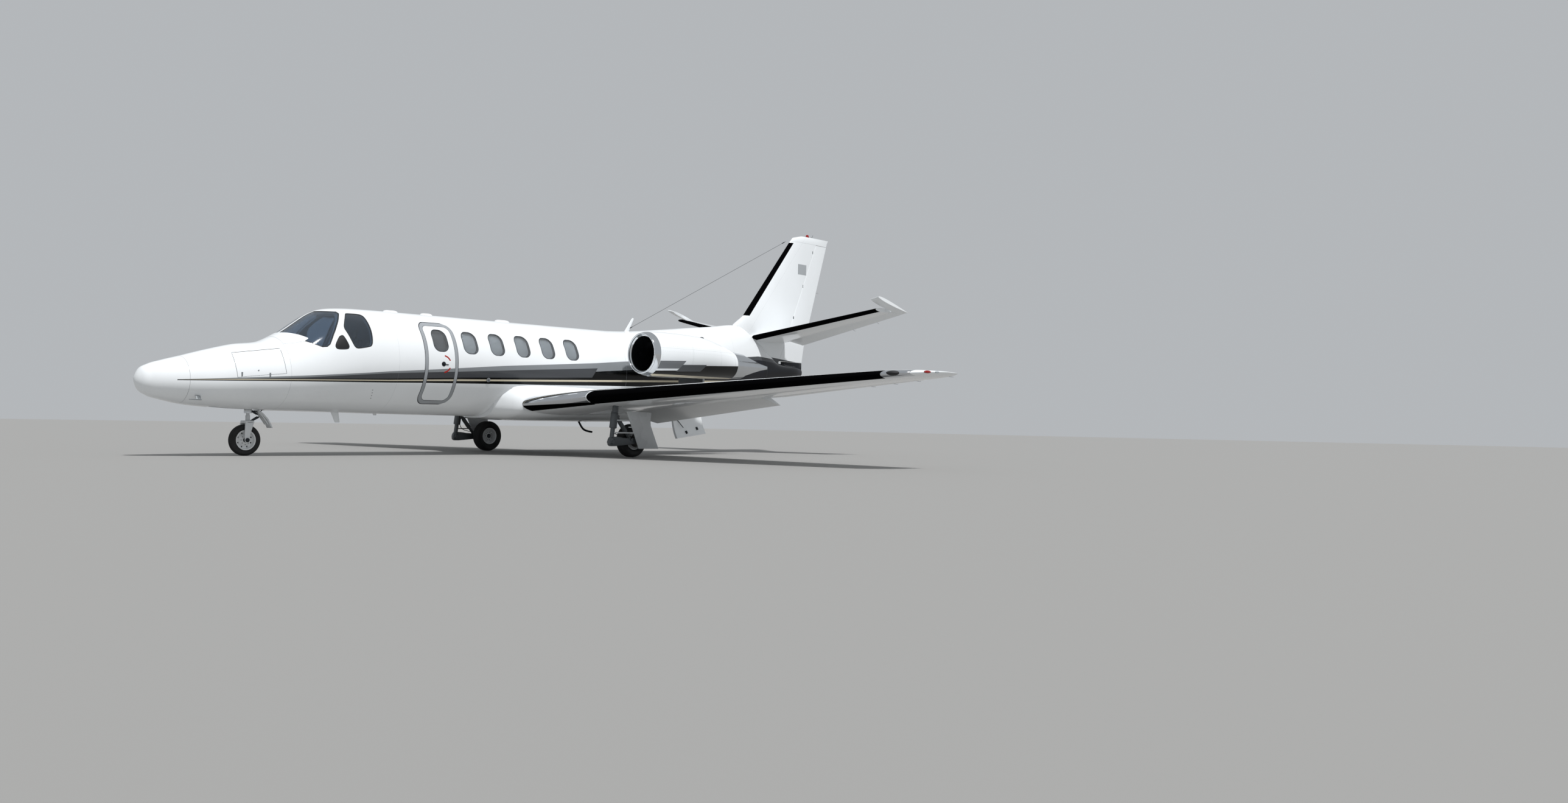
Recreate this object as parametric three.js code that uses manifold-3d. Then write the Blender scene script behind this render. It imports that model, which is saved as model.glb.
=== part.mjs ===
// A straight-wing light business jet with two turbofans on the rear fuselage, parked on its gear.
// Units are millimetres, +Z up. The nose points along -Y, the port wing along +X, and the origin is
// on the ground below the middle of the airframe. Places are written as (across, station, height):
// across is to port of the centre line, station is measured aft from the nose, height from the ground.

import * as THREE from "three";
import { mergeVertices } from "three/addons/utils/BufferGeometryUtils.js";
import Module from "manifold-3d";

const wasm = await Module();
wasm.setup();

// Overall sizes
const LENGTH = 14390;
const MID_STATION = LENGTH / 2;
const SEAT_GAP = 0.3;
const MOVING_GAP = 8;

// Hinge pins: how deep they stand in the moving and in the fixed part, and the room at their ends
const PIN_RADIUS = 10;
const PIN_SIDES = 14;
const PIN_ROOT = 25;
const PIN_REACH = 20;
const PIN_END_GAP = 5;
const TIP_TOUCH = 1e-3;

// Fuselage
const SKIN_WALL = 70;
const NOSE_WALL = 55;
const RADOME_SEAM = 570;
const COCKPIT_FRAME = 1860;
const FRONT_BULKHEAD = 40;
const TAIL_WALL = 45;
const TAIL_BAY_END = 12300;
const TAIL_FRAME = 8000;
const REAR_BULKHEAD = 70;
const TAIL_END = 13550;
const BODY_SIDES = 28;
const BAY_SIDES = 14;
const FLOOR_TOP = 840;
const FLOOR_THICK = 30;

// How far a side's cutting tools reach from the centre line, and limits beyond the whole aircraft
const TOOL_NEAR = 200;
const TOOL_FAR = 900;
const BEYOND = { across: 1200, height: 3000, belly: 300 };

// Body sections: station, top, bottom, half width, height of the widest line
const BODY_SECTIONS = [
  [0, 1075, 985, 45, 1030],
  [50, 1176, 893, 142, 1030],
  [150, 1240, 822, 212, 1030],
  [340, 1306, 766, 302, 1032],
  [570, 1372, 718, 385, 1040],
  [960, 1486, 679, 500, 1060],
  [1300, 1574, 656, 575, 1090],
  [1700, 1640, 648, 645, 1120],
  [1860, 1712, 647, 670, 1140],
  [2020, 1802, 646, 690, 1160],
  [2200, 1932, 645, 710, 1195],
  [2380, 2060, 644, 728, 1230],
  [2570, 2151, 643, 745, 1275],
  [2770, 2190, 641, 760, 1320],
  [3170, 2212, 637, 780, 1390],
  [3600, 2214, 632, 790, 1420],
  [8000, 2205, 620, 790, 1420],
  [8700, 2238, 634, 770, 1430],
  [9440, 2314, 700, 705, 1450],
  [10100, 2388, 820, 615, 1480],
  [10800, 2462, 960, 510, 1540],
  [11500, 2540, 1120, 400, 1600],
  [12200, 2200, 1275, 290, 1660],
  [12740, 1858, 1400, 205, 1680],
  [12900, 1830, 1435, 180, 1680],
  [13400, 1790, 1545, 90, 1680],
  [13550, 1750, 1600, 45, 1675],
];

// Cockpit glazing outlines seen from the side: station, height. The windscreen's upper edge lies
// above the roof line, so the pane ends at the post on the centre line.
const PANE_SINK = 3;
const PANE_THICK = 14;
const CENTRE_POST = 26;
const GLAZING = { front: COCKPIT_FRAME + 20, rear: 3400 };
const WINDSCREEN = [
  [1925, 1704], [2121, 1650], [2219, 1612], [2328, 1569], [2396, 1577], [2445, 1615], [2527, 1763],
  [2615, 1904], [2714, 2050], [2752, 2100], [2738, 2131], [2500, 2131], [2420, 2200], [1925, 1850],
];
const VENT_WINDOW = [
  [2637, 1768], [2664, 1761], [2722, 1615], [2706, 1565], [2653, 1552], [2537, 1548], [2508, 1576],
  [2513, 1622], [2589, 1745],
];
const SIDE_WINDOW = [
  [2836, 2107], [2879, 2116], [3061, 2114], [3104, 2086], [3110, 1983], [3110, 1843], [3092, 1705],
  [3072, 1640], [3039, 1611], [2857, 1574], [2811, 1581], [2780, 1624], [2725, 1792], [2692, 1881],
  [2746, 1986],
];

// Cabin windows: one pitch apart, the starboard row one window longer
const WINDOW_FIRST = 4790;
const WINDOW_PITCH = 508;
const WINDOW_WIDTH = 255;
const WINDOW_BOTTOM = 1605;
const WINDOW_TOP = 1940;
const WINDOW_CORNER = 80;
const WINDOW_COUNT = 5;
const LINER_THICK = 8;
const LINER_MARGIN = 60;

// Cabin door, hinged on a vertical line just outside its forward edge
const DOOR_FRONT = 3940;
const DOOR_REAR = 4530;
const DOOR_BOTTOM = 800;
const DOOR_TOP = 2060;
const DOOR_CORNER = 110;
const DOOR_HINGE_ACROSS = 806;
const DOOR_HINGE_STATION = 3930;
const SILL_PAD = { front: 4080, rear: 4200 };
const DOORWAY = { across: 300, front: 3920, rear: 4560 };
const DOOR_WINDOW_FRONT = 4118;
const DOOR_WINDOW_WIDTH = 250;
const DOOR_WINDOW_RISE = 8;
const DOOR_PANE = { front: 4000, rear: 4500 };

// Nose baggage bay and its two doors, hinged along their top edges
const BAY_FRONT = 1080;
const BAY_REAR = 1815;
const BAY_FLOOR = 1010;
const NOSE_DOOR = {
  hingeFront: [318, 1150, 1452],
  hingeRear: [460, 1780, 1544],
  reach: 420,
};

// A baggage door starts this far from its hinge line, and from the centre line
const DOOR_FROM_HINGE = 18;
const DOOR_TOOL_NEAR = 80;

// Round ends of the door hinges: the radius about the hinge line
const NOSE_HINGE_END = 45;
const AFT_HINGE_END = 52;

// Aft baggage door, hinged along its bottom edge and hanging open
const AFT_DOOR = {
  hingeFront: [512, 9370, 896],
  hingeRear: [448, 10130, 985],
  reach: 620,
  open: 158,
};

// Wing stations: across, leading edge station and height, trailing edge station and height,
// thickness over chord
const WING_ROOT = 900;
const WING_TIP = 7950;
const WING_STATIONS = [
  [900, 5680, 838, 8600, 752, 0.118],
  [1910, 6127, 962, 8462, 827, 0.135],
  [7450, 6554, 1272, 7714, 1247, 0.12],
  [7700, 6640, 1287, 7704, 1269, 0.105],
  [7860, 6820, 1304, 7695, 1290, 0.085],
  [7930, 7130, 1322, 7688, 1308, 0.06],
  [7950, 7440, 1332, 7680, 1322, 0.04],
];
const WING_CAMBER = 0.012;
const FLAP = { inner: 965, outer: 4290, hinge: 0.74, below: -14, rest: 15 };
const AILERON = { inner: 4360, outer: 7400, hinge: 0.76, travel: 19 };

// Wing fairing sections: station, half width, bottom, side bottom, side top, top across, top height
const FAIRING_SECTIONS = [
  [5380, 560, 600, 790, 900, 600, 960],
  [5690, 899.7, 578, 735, 930, 720, 1140],
  [6200, 899.7, 565, 700, 1040, 735, 1165],
  [7200, 899.7, 565, 690, 1020, 735, 1140],
  [8100, 899.7, 570, 715, 900, 700, 1020],
  [8650, 880, 590, 745, 800, 640, 900],
  [9250, 420, 655, 790, 850, 500, 900],
];

// Tail plane stations in the same columns as the wing, and the elevator's places
const TAIL_CAMBER = 0;
const STABILISER_STATIONS = [
  [20, 11830, 2300, 13320, 2300, 0.1],
  [2740, 12575, 2826, 13308, 2812, 0.1],
];
const ELEVATOR = { inner: 250, outer: 2740, hinge: 0.7, droop: 15, travel: 35, lessCut: 12 };
const STABILISER_ROOT = 21;
const RUDDER_SWEEP = { inner: -20, outer: 235, front: 12960, rear: 13500, bottom: 2100, top: 2500 };
const HORN_RISE = 11;
const ELEVATOR_ROOT_GAP = 30;
const HORN = { inner: 2765, outer: 2950, nose: 12400, thick: 0.07 };

// Fin stations: height, leading edge station, trailing edge station, thickness over chord
const FIN_STATIONS = [
  [1700, 11250, 13550, 0.085],
  [2220, 11350, 13640, 0.09],
  [2560, 11480, 13746, 0.1],
  [2750, 11760, 13805, 0.1],
  [4400, 13135, 14320, 0.1],
  [4500, 13230, 14352, 0.095],
  [4560, 13480, 14390, 0.07],
];
const RUDDER = { bottom: 1888, top: 4412, hingeLow: 12830, hingeHigh: 13965, travel: 22 };
const RUDDER_TOP_GAP = 16;

// Engine pods, at their distance from the centre line
const ENGINE_ACROSS = 1300;
const POD_SIDES = 20;
// Pod outside: station, radius, height of the centre
const POD_SECTIONS = [
  [7870, 330, 1762], [7890, 356, 1762], [8000, 382, 1760], [8400, 396, 1756], [9130, 378, 1750],
  [9600, 332, 1714], [10020, 258, 1654],
];
// Pod inside, from the lip to the tail: station, radius, height of the centre
const DUCT_SECTIONS = [
  [7860, 322, 1762], [7900, 301, 1762], [8200, 287, 1756], [8610, 287, 1755], [9600, 250, 1714],
  [10030, 225, 1653],
];
const CORE_FRONT = 8620;
const CORE_REAR = 10020;
const NOZZLE_END = [10330, 196, 1648];
const JET_PIPE_RADIUS = 176;
const JET_PIPE_FRONT = 9960;
const REVERSER_SECTIONS = [
  [10020.3, 256, 1654], [10400, 222, 1648], [10900, 178, 1637],
];
const REVERSER_WALL = 16;
const REVERSER_ABOVE = [[10330, 1950], [10330, 1830], [10901, 1662], [10901, 1950]];
const REVERSER_BELOW = [[10330, 1350], [10330, 1470], [10901, 1612], [10901, 1350]];
const POD_REACH = 400;
const PYLON_STATIONS = [
  [480, 8330, 1730, 10150, 1712, 0.085],
  [1250, 8430, 1745, 9800, 1725, 0.085],
];
const FAN_STATION = 8470;
const FAN_HEIGHT = 1755;
const FAN_RADIUS = 277;
const FAN_HUB = 92;
const FAN_BLADES = 16;
const SHAFT_RADIUS = 40;

// Landing gear
const NOSE_LEG_STATION = 1565;
const NOSE_AXLE_STATION = 1525;
const NOSE_TYRE_RADIUS = 222;
const NOSE_TYRE_WIDTH = 112;
const NOSE_RIM_RADIUS = 146;
const NOSE_WELL = { across: 130, front: 960, rear: 1760, roof: 930 };
const MAIN_AXLE_STATION = 7070;
const MAIN_WHEEL_ACROSS = 1980;
const MAIN_LEG_ACROSS = 2150;
const MAIN_TYRE_RADIUS = 272;
const MAIN_TYRE_WIDTH = 190;
const MAIN_RIM_RADIUS = 150;
const MAIN_DOOR_ACROSS = 2225;
const LEG_SLOT = { inner: 2030, outer: 2210, front: 6500, rear: 6690, roof: 925 };
const WHEEL_WELL = { inner: 1230, outer: 1860, front: 6790, rear: 7400, roof: 900 };

// Instrument panel, glare shield and the pedestal between the seats: stations and heights
const PANEL = {
  from: 2050,
  to: 2420,
  face: [2300, 2345],
  shield: [2080, 2400],
  faceBottom: 1080,
  shieldBottom: 1545,
  shieldTop: 1580,
  pedestal: { half: 120, front: 2310, rear: 2700, top: 1190 },
};

// Seat outlines: distance behind the cushion's front edge, height
const SEAT = {
  half: 235,
  outline: [
    [0, 1130], [0, 1225], [30, 1250], [430, 1225], [520, 1700], [545, 1780], [625, 1780], [640, 1730],
    [560, 1130],
  ],
  headrestHalf: 115,
  headrest: [[540, 1770], [525, 1930], [595, 1945], [620, 1770]],
  pedestal: { half: 100, inboard: 60, front: 100, rear: 470, top: 1140 },
};

// Seats: name, across, station of the cushion's front, facing (1 looks forward)
const SEATS = [
  ["pilot_seat", 340, 2790, 1],
  ["copilot_seat", -340, 2790, 1],
  ["cabin_seat_front_left", 350, 5330, -1],
  ["cabin_seat_front_right", -350, 5330, -1],
  ["cabin_seat_rear_left", 350, 5880, 1],
  ["cabin_seat_rear_right", -350, 5880, 1],
];

// Colours
const WHITE = { color: 0xf3f4f4, roughness: 0.25, metalness: 0 };
const GLASS = { color: 0x2c3a4c, roughness: 0.1, metalness: 0, transparent: true, opacity: 0.55 };
const POLISHED = { color: 0xc9cdd2, roughness: 0.12, metalness: 1 };
const STEEL = { color: 0x9da2a6, roughness: 0.4, metalness: 0.8 };
const RUBBER = { color: 0x1b1b1c, roughness: 0.85, metalness: 0 };
const LEATHER = { color: 0xb9a88c, roughness: 0.6, metalness: 0 };
const DARK = { color: 0x24262a, roughness: 0.7, metalness: 0 };
const CARPET = { color: 0x5b5750, roughness: 0.95, metalness: 0 };

// Solids

function place(across, station, height) {
  return new THREE.Vector3(across, station - MID_STATION, height);
}

// Makes a closed geometry a solid that can be joined and cut, with its faces outwards.
function solid(geometry) {
  const bare = geometry.clone();
  bare.deleteAttribute("normal");
  bare.deleteAttribute("uv");
  const merged = mergeVertices(bare, TIP_TOUCH);
  const corners = [];
  const index = merged.index.array;
  for (let i = 0; i < index.length; i += 3) {
    const [a, b, c] = [index[i], index[i + 1], index[i + 2]];
    if (a !== b && b !== c && a !== c) corners.push(a, b, c);
  }
  const made = manifoldOf(merged.attributes.position.array, corners);
  if (made.volume() > 0) return made;
  for (let i = 0; i < corners.length; i += 3) {
    [corners[i + 1], corners[i + 2]] = [corners[i + 2], corners[i + 1]];
  }
  return manifoldOf(merged.attributes.position.array, corners);
}

function manifoldOf(points, corners) {
  const mesh = new wasm.Mesh({
    numProp: 3,
    vertProperties: new Float32Array(points),
    triVerts: new Uint32Array(corners),
  });
  return new wasm.Manifold(mesh);
}

function geometryOf(body) {
  const mesh = body.getMesh();
  const geometry = new THREE.BufferGeometry();
  geometry.setAttribute("position", new THREE.BufferAttribute(mesh.vertProperties, 3));
  geometry.setIndex(new THREE.BufferAttribute(mesh.triVerts, 1));
  geometry.computeVertexNormals();
  return geometry;
}

function joined(bodies) {
  return bodies.reduce((all, body) => all.add(body));
}

function cutBy(body, tools) {
  return tools.reduce((left, tool) => left.subtract(tool), body);
}

function mirrored(body) {
  const geometry = geometryOf(body);
  geometry.scale(-1, 1, 1);
  return solid(geometry);
}

// Joins rings of equally many points into one closed skin with flat ends. Each patch is split along
// its shorter diagonal, so both sides of the aircraft get the same facets.
function loft(rings) {
  const count = rings[0].length;
  const corners = [];
  for (let r = 0; r < rings.length - 1; r++) {
    for (let i = 0; i < count; i++) {
      const j = (i + 1) % count;
      const [a, b] = [r * count + i, r * count + j];
      const [near, far] = [rings[r], rings[r + 1]];
      if (near[i].distanceTo(far[j]) < near[j].distanceTo(far[i])) {
        corners.push(a, b, b + count, a, b + count, a + count);
      } else {
        corners.push(a, b, a + count, b, b + count, a + count);
      }
    }
  }
  const last = (rings.length - 1) * count;
  for (const [a, b, c] of capOf(rings[0])) corners.push(a, c, b);
  for (const [a, b, c] of capOf(rings[rings.length - 1])) corners.push(last + a, last + b, last + c);
  const geometry = new THREE.BufferGeometry().setFromPoints(rings.flat());
  geometry.setIndex(corners);
  return solid(geometry);
}

// Triangles that fill one ring, turning the same way as the ring does.
function capOf(ring) {
  const normal = new THREE.Vector3();
  ring.forEach((p, i) => {
    normal.add(new THREE.Vector3().crossVectors(p, ring[(i + 1) % ring.length]));
  });
  normal.normalize();
  const side = new THREE.Vector3().crossVectors(
    Math.abs(normal.z) < 0.9 ? new THREE.Vector3(0, 0, 1) : new THREE.Vector3(1, 0, 0),
    normal,
  ).normalize();
  const rise = new THREE.Vector3().crossVectors(normal, side);
  const flat = ring.map((p) => new THREE.Vector2(p.dot(side), p.dot(rise)));
  return THREE.ShapeUtils.triangulateShape(flat, []).map(([a, b, c]) => {
    const turn = THREE.ShapeUtils.area([flat[a], flat[b], flat[c]]);
    return turn > 0 ? [a, b, c] : [a, c, b];
  });
}

function block(across, station, height) {
  const geometry = new THREE.BoxGeometry(
    across[1] - across[0], station[1] - station[0], height[1] - height[0],
  );
  const middle = place(
    (across[0] + across[1]) / 2, (station[0] + station[1]) / 2, (height[0] + height[1]) / 2,
  );
  geometry.translate(middle.x, middle.y, middle.z);
  return solid(geometry);
}

// Extrudes an outline of [station, height] points across the aircraft.
function sidePrism(outline, from, to) {
  const shape = new THREE.Shape(outline.map(([s, h]) => new THREE.Vector2(s - MID_STATION, h)));
  const geometry = new THREE.ExtrudeGeometry(shape, { depth: to - from, bevelEnabled: false });
  geometry.applyMatrix4(new THREE.Matrix4().makeBasis(
    new THREE.Vector3(0, 1, 0), new THREE.Vector3(0, 0, 1), new THREE.Vector3(1, 0, 0),
  ));
  geometry.translate(from, 0, 0);
  return solid(geometry);
}

// Turns a profile of [radius, distance] points about a line from start along direction.
function turned(profile, start, direction, sides) {
  const points = profile.map(([r, d]) => new THREE.Vector2(r, d));
  const geometry = new THREE.LatheGeometry(points, sides);
  const turn = new THREE.Quaternion().setFromUnitVectors(
    new THREE.Vector3(0, 1, 0), direction.clone().normalize(),
  );
  geometry.applyQuaternion(turn);
  geometry.translate(start.x, start.y, start.z);
  return solid(geometry);
}

function rod(from, to, radius, sides = 14) {
  const direction = new THREE.Vector3().subVectors(to, from);
  const length = direction.length();
  return turned([[0, 0], [radius, 0], [radius, length], [0, length]], from, direction, sides);
}

// Turns a solid about a line by degrees, by the right-hand rule.
function swung(body, point, axis, degrees) {
  const geometry = geometryOf(body);
  geometry.translate(-point.x, -point.y, -point.z);
  geometry.applyQuaternion(new THREE.Quaternion().setFromAxisAngle(
    axis.clone().normalize(), THREE.MathUtils.degToRad(degrees),
  ));
  geometry.translate(point.x, point.y, point.z);
  return solid(geometry);
}

// Corner points of a rectangle with round corners, from [left, bottom] to [right, top].
function roundRectangle(left, right, bottom, top, radius, steps = 2) {
  const centres = [
    [right - radius, top - radius], [left + radius, top - radius],
    [left + radius, bottom + radius], [right - radius, bottom + radius],
  ];
  return centres.flatMap(([x, y], quarter) =>
    Array.from({ length: steps + 1 }, (_, i) => {
      const angle = (quarter + i / steps) * Math.PI / 2;
      return [x + radius * Math.cos(angle), y + radius * Math.sin(angle)];
    }));
}

// Moves each point of an outline inwards, towards the outline's middle, by about one distance.
function shrunk(outline, distance) {
  const middle = outline.reduce(([x, y], p) => [x + p[0] / outline.length, y + p[1] / outline.length],
    [0, 0]);
  return outline.map(([x, y]) => {
    const [dx, dy] = [x - middle[0], y - middle[1]];
    const length = Math.hypot(dx, dy);
    return [x - dx / length * distance, y - dy / length * distance];
  });
}

// Fuselage shapes

// Values of a table between its rows, found from the first column.
function rowAt(table, key) {
  const upper = Math.max(1, table.findIndex((row) => row[0] >= key));
  const [a, b] = [table[upper - 1], table[upper]];
  const share = (key - a[0]) / (b[0] - a[0]);
  return a.map((value, i) => (i === 0 ? key : value + (b[i] - value) * share));
}

function keysBetween(table, from, to) {
  return [from, ...table.map((row) => row[0]).filter((key) => key > from && key < to), to];
}

function bodyRing([station, top, bottom, half, widest], inset, sides) {
  return Array.from({ length: sides }, (_, i) => {
    const angle = (i + 0.5) / sides * 2 * Math.PI;
    const rise = Math.sin(angle) > 0 ? top - widest : widest - bottom;
    return place(
      (half - inset) * Math.cos(angle), station, widest + (rise - inset) * Math.sin(angle),
    );
  });
}

// The fuselage form from one station to another, drawn in by inset all round.
function bodyForm(from, to, inset = 0, sides = BODY_SIDES) {
  return loft(keysBetween(BODY_SECTIONS, from, to).map((station) =>
    bodyRing(rowAt(BODY_SECTIONS, station), inset, sides)));
}

const bodyClearance = bodyForm(RADOME_SEAM, TAIL_END - 1, -SEAT_GAP);

function windowOutline(front) {
  return roundRectangle(front, front + WINDOW_WIDTH, WINDOW_BOTTOM, WINDOW_TOP, WINDOW_CORNER);
}

function windowFronts(side) {
  const first = side > 0 ? 0 : -1;
  return Array.from({ length: WINDOW_COUNT - first }, (_, i) =>
    WINDOW_FIRST - WINDOW_WIDTH / 2 + (first + i) * WINDOW_PITCH);
}

function acrossRange(side, near, far) {
  return side > 0 ? [near, far] : [-far, -near];
}

function sideTool(outline, side, near = TOOL_NEAR, far = TOOL_FAR) {
  return sidePrism(outline, ...acrossRange(side, near, far));
}

function glazingTool(outline, side, gap) {
  const near = outline === WINDSCREEN ? CENTRE_POST + gap : TOOL_NEAR;
  return sideTool(gap > 0 ? shrunk(outline, gap) : outline, side, near);
}

function pane(outline, side) {
  const [from, to] = [GLAZING.front, GLAZING.rear];
  const sheet = bodyForm(from, to, PANE_SINK).subtract(bodyForm(from - 1, to + 1, PANE_SINK + PANE_THICK));
  return sheet.intersect(glazingTool(outline, side, SEAT_GAP * 2));
}

function radome() {
  return bodyForm(0, RADOME_SEAM - SEAT_GAP);
}

// A door hinged on a line: its tool is a sector about that line, so its far edge swings clear.
function swingTool({ hingeFront, hingeRear, reach }, side, toward, grow) {
  const [front, rear] = [place(...hingeFront), place(...hingeRear)];
  const along = new THREE.Vector3().subVectors(rear, front).normalize();
  const start = front.clone().addScaledVector(along, -grow);
  const end = rear.clone().addScaledVector(along, grow);
  const drum = rod(start, end, reach + grow, 48);
  const down = new THREE.Vector3(0, 0, toward).addScaledVector(along, -along.z * toward).normalize();
  const out = new THREE.Vector3().crossVectors(along, down).normalize();
  const [near, deep] = [DOOR_FROM_HINGE - grow, 2 * reach];
  const ring = (at) => [[near, -deep], [near, deep], [deep, deep], [deep, -deep]].map(([v, n]) =>
    at.clone().addScaledVector(down, v).addScaledVector(out, n));
  const wedge = drum.intersect(loft([ring(start), ring(end)]));
  const outboard = wedge.intersect(
    block([DOOR_TOOL_NEAR, BEYOND.across], [0, LENGTH], [0, BEYOND.height]),
  );
  return side > 0 ? outboard : mirrored(outboard);
}

// The drums that close a door's gap at both ends of its hinge line, next to that line.
function hingeEnds({ hingeFront, hingeRear }, radius, thick) {
  const [front, rear] = [place(...hingeFront), place(...hingeRear)];
  const along = new THREE.Vector3().subVectors(rear, front).normalize();
  return [[front, -1], [rear, 1]].map(([end, way]) =>
    rod(end.clone().addScaledVector(along, way * SEAT_GAP),
      end.clone().addScaledVector(along, way * thick), radius, 24));
}

function noseDoorOpening(side) {
  const ends = joined(hingeEnds(NOSE_DOOR, NOSE_HINGE_END, 2 * MOVING_GAP));
  return swingTool(NOSE_DOOR, side, -1, MOVING_GAP).subtract(side > 0 ? ends : mirrored(ends));
}

function noseSection() {
  const shell = bodyForm(RADOME_SEAM, COCKPIT_FRAME - SEAT_GAP);
  const bay = bodyForm(BAY_FRONT, BAY_REAR, NOSE_WALL, BAY_SIDES)
    .intersect(block([-BEYOND.across, BEYOND.across], [0, LENGTH], [BAY_FLOOR, BEYOND.height]));
  const { across, front, rear, roof } = NOSE_WELL;
  const well = block([-across, across], [front, rear], [BEYOND.belly, roof]);
  return cutBy(shell, [bay, well, noseDoorOpening(1), noseDoorOpening(-1)]);
}

function noseDoor() {
  const wall = bodyForm(BAY_FRONT, BAY_REAR)
    .subtract(bodyForm(BAY_FRONT - 1, BAY_REAR + 1, NOSE_WALL, BAY_SIDES));
  return wall.intersect(swingTool(NOSE_DOOR, 1, -1, 0));
}

// Station of the cabin door's rear edge at a height, with its round corners.
function doorRear(height) {
  const end = Math.min(height - DOOR_BOTTOM, DOOR_TOP - height);
  if (end >= DOOR_CORNER) return DOOR_REAR;
  const drop = DOOR_CORNER - end;
  return DOOR_REAR - DOOR_CORNER + Math.sqrt(DOOR_CORNER ** 2 - drop ** 2);
}

// The door's tool: round front corners, and a rear edge turned about the hinge line.
function doorTool(grow) {
  const heights = [0, 0.03, 0.09, 0.22, 0.38, 0.5, 0.62, 0.78, 0.91, 0.97, 1]
    .map((share) => DOOR_BOTTOM + share * (DOOR_TOP - DOOR_BOTTOM));
  const radii = heights.map((height) => {
    const [, top, bottom, half, widest] = rowAt(BODY_SECTIONS, DOOR_REAR);
    const rise = height > widest ? top - widest : widest - bottom;
    const skin = half * Math.sqrt(1 - ((height - widest) / rise) ** 2);
    return Math.hypot(DOOR_HINGE_ACROSS - skin, doorRear(height) - DOOR_HINGE_STATION) + grow;
  });
  const profile = heights.map((height, i) => [radii[i], height]);
  profile[0][1] -= grow;
  profile[profile.length - 1][1] += grow;
  const closed = [[0, profile[0][1]], ...profile, [0, profile[profile.length - 1][1]]];
  const drum = turned(
    closed, place(DOOR_HINGE_ACROSS, DOOR_HINGE_STATION, 0), new THREE.Vector3(0, 0, 1), 72,
  );
  const outline = roundRectangle(DOOR_FRONT - grow, DOOR_REAR + 2 * DOOR_CORNER, DOOR_BOTTOM - grow,
    DOOR_TOP + grow, DOOR_CORNER, 5);
  return drum.intersect(sidePrism(outline, DOOR_TOOL_NEAR, TOOL_FAR));
}

function doorWindowOutline() {
  return roundRectangle(DOOR_WINDOW_FRONT, DOOR_WINDOW_FRONT + DOOR_WINDOW_WIDTH,
    WINDOW_BOTTOM + DOOR_WINDOW_RISE, WINDOW_TOP, WINDOW_CORNER);
}

function cabinWall() {
  const outside = bodyForm(COCKPIT_FRAME, TAIL_FRAME - SEAT_GAP);
  return outside.subtract(bodyForm(COCKPIT_FRAME + FRONT_BULKHEAD, TAIL_FRAME - REAR_BULKHEAD, SKIN_WALL));
}

// The door's opening: clear of the door all round, but for the pad on the sill that it rests on.
function cabinDoorOpening() {
  const pad = block([TOOL_NEAR, TOOL_FAR], [SILL_PAD.front, SILL_PAD.rear],
    [DOOR_BOTTOM - 2 * MOVING_GAP, DOOR_BOTTOM - SEAT_GAP]);
  return doorTool(MOVING_GAP).subtract(pad);
}

function cabinShell() {
  const glazing = [WINDSCREEN, VENT_WINDOW, SIDE_WINDOW].flatMap((outline) =>
    [1, -1].map((side) => glazingTool(outline, side, 0)));
  const windows = [1, -1].flatMap((side) => windowFronts(side).map((front) =>
    sideTool(windowOutline(front), side)));
  return cutBy(cabinWall(), [...glazing, ...windows, cabinDoorOpening()]);
}

function cabinDoor() {
  return cabinWall().intersect(doorTool(0)).subtract(sideTool(doorWindowOutline(), 1));
}

function doorWindow() {
  const { front, rear } = DOOR_PANE;
  const sheet = bodyForm(front, rear, PANE_SINK)
    .subtract(bodyForm(front - 1, rear + 1, SKIN_WALL - PANE_THICK));
  return sheet.intersect(sideTool(shrunk(doorWindowOutline(), SEAT_GAP * 2), 1));
}

// One side's cabin panes, joined by the liner strip behind them.
function windowRow(side) {
  const fronts = windowFronts(side);
  const [from, to] = [
    fronts[0] - LINER_MARGIN, fronts[fronts.length - 1] + WINDOW_WIDTH + LINER_MARGIN,
  ];
  const liner = bodyForm(from, to, SKIN_WALL + SEAT_GAP)
    .subtract(bodyForm(from - 1, to + 1, SKIN_WALL + LINER_THICK))
    .intersect(block(acrossRange(side, TOOL_NEAR, TOOL_FAR), [from - 5, to + 5],
      [WINDOW_BOTTOM - LINER_MARGIN, WINDOW_TOP + LINER_MARGIN]));
  const plugs = bodyForm(from, to, PANE_SINK)
    .subtract(bodyForm(from - 1, to + 1, SKIN_WALL + LINER_THICK / 2));
  const panes = fronts.map((front) =>
    plugs.intersect(sideTool(shrunk(windowOutline(front), SEAT_GAP * 2), side)));
  return joined([liner, ...panes]);
}

function cabinFloor() {
  const inside = bodyForm(
    COCKPIT_FRAME + FRONT_BULKHEAD + SEAT_GAP, TAIL_FRAME - REAR_BULKHEAD - 2 * SEAT_GAP,
    SKIN_WALL + SEAT_GAP,
  );
  const slab = inside.intersect(
    block([-TOOL_FAR, TOOL_FAR], [0, LENGTH], [FLOOR_TOP - FLOOR_THICK, FLOOR_TOP]),
  );
  const { across, front, rear } = DOORWAY;
  return slab.subtract(
    block([across, TOOL_FAR], [front, rear], [FLOOR_TOP - 2 * FLOOR_THICK, FLOOR_TOP + FLOOR_THICK]),
  );
}

function instrumentPanel() {
  const { from, to, face, shield, faceBottom, shieldBottom, shieldTop, pedestal } = PANEL;
  const inside = bodyForm(from, to, SKIN_WALL + 1);
  const wide = [-TOOL_FAR, TOOL_FAR];
  return joined([
    inside.intersect(block(wide, face, [faceBottom, shieldBottom])),
    inside.intersect(block(wide, shield, [shieldBottom - TIP_TOUCH, shieldTop])),
    block([-pedestal.half, pedestal.half], [pedestal.front, pedestal.rear],
      [FLOOR_TOP + SEAT_GAP, pedestal.top]),
  ]);
}

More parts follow.
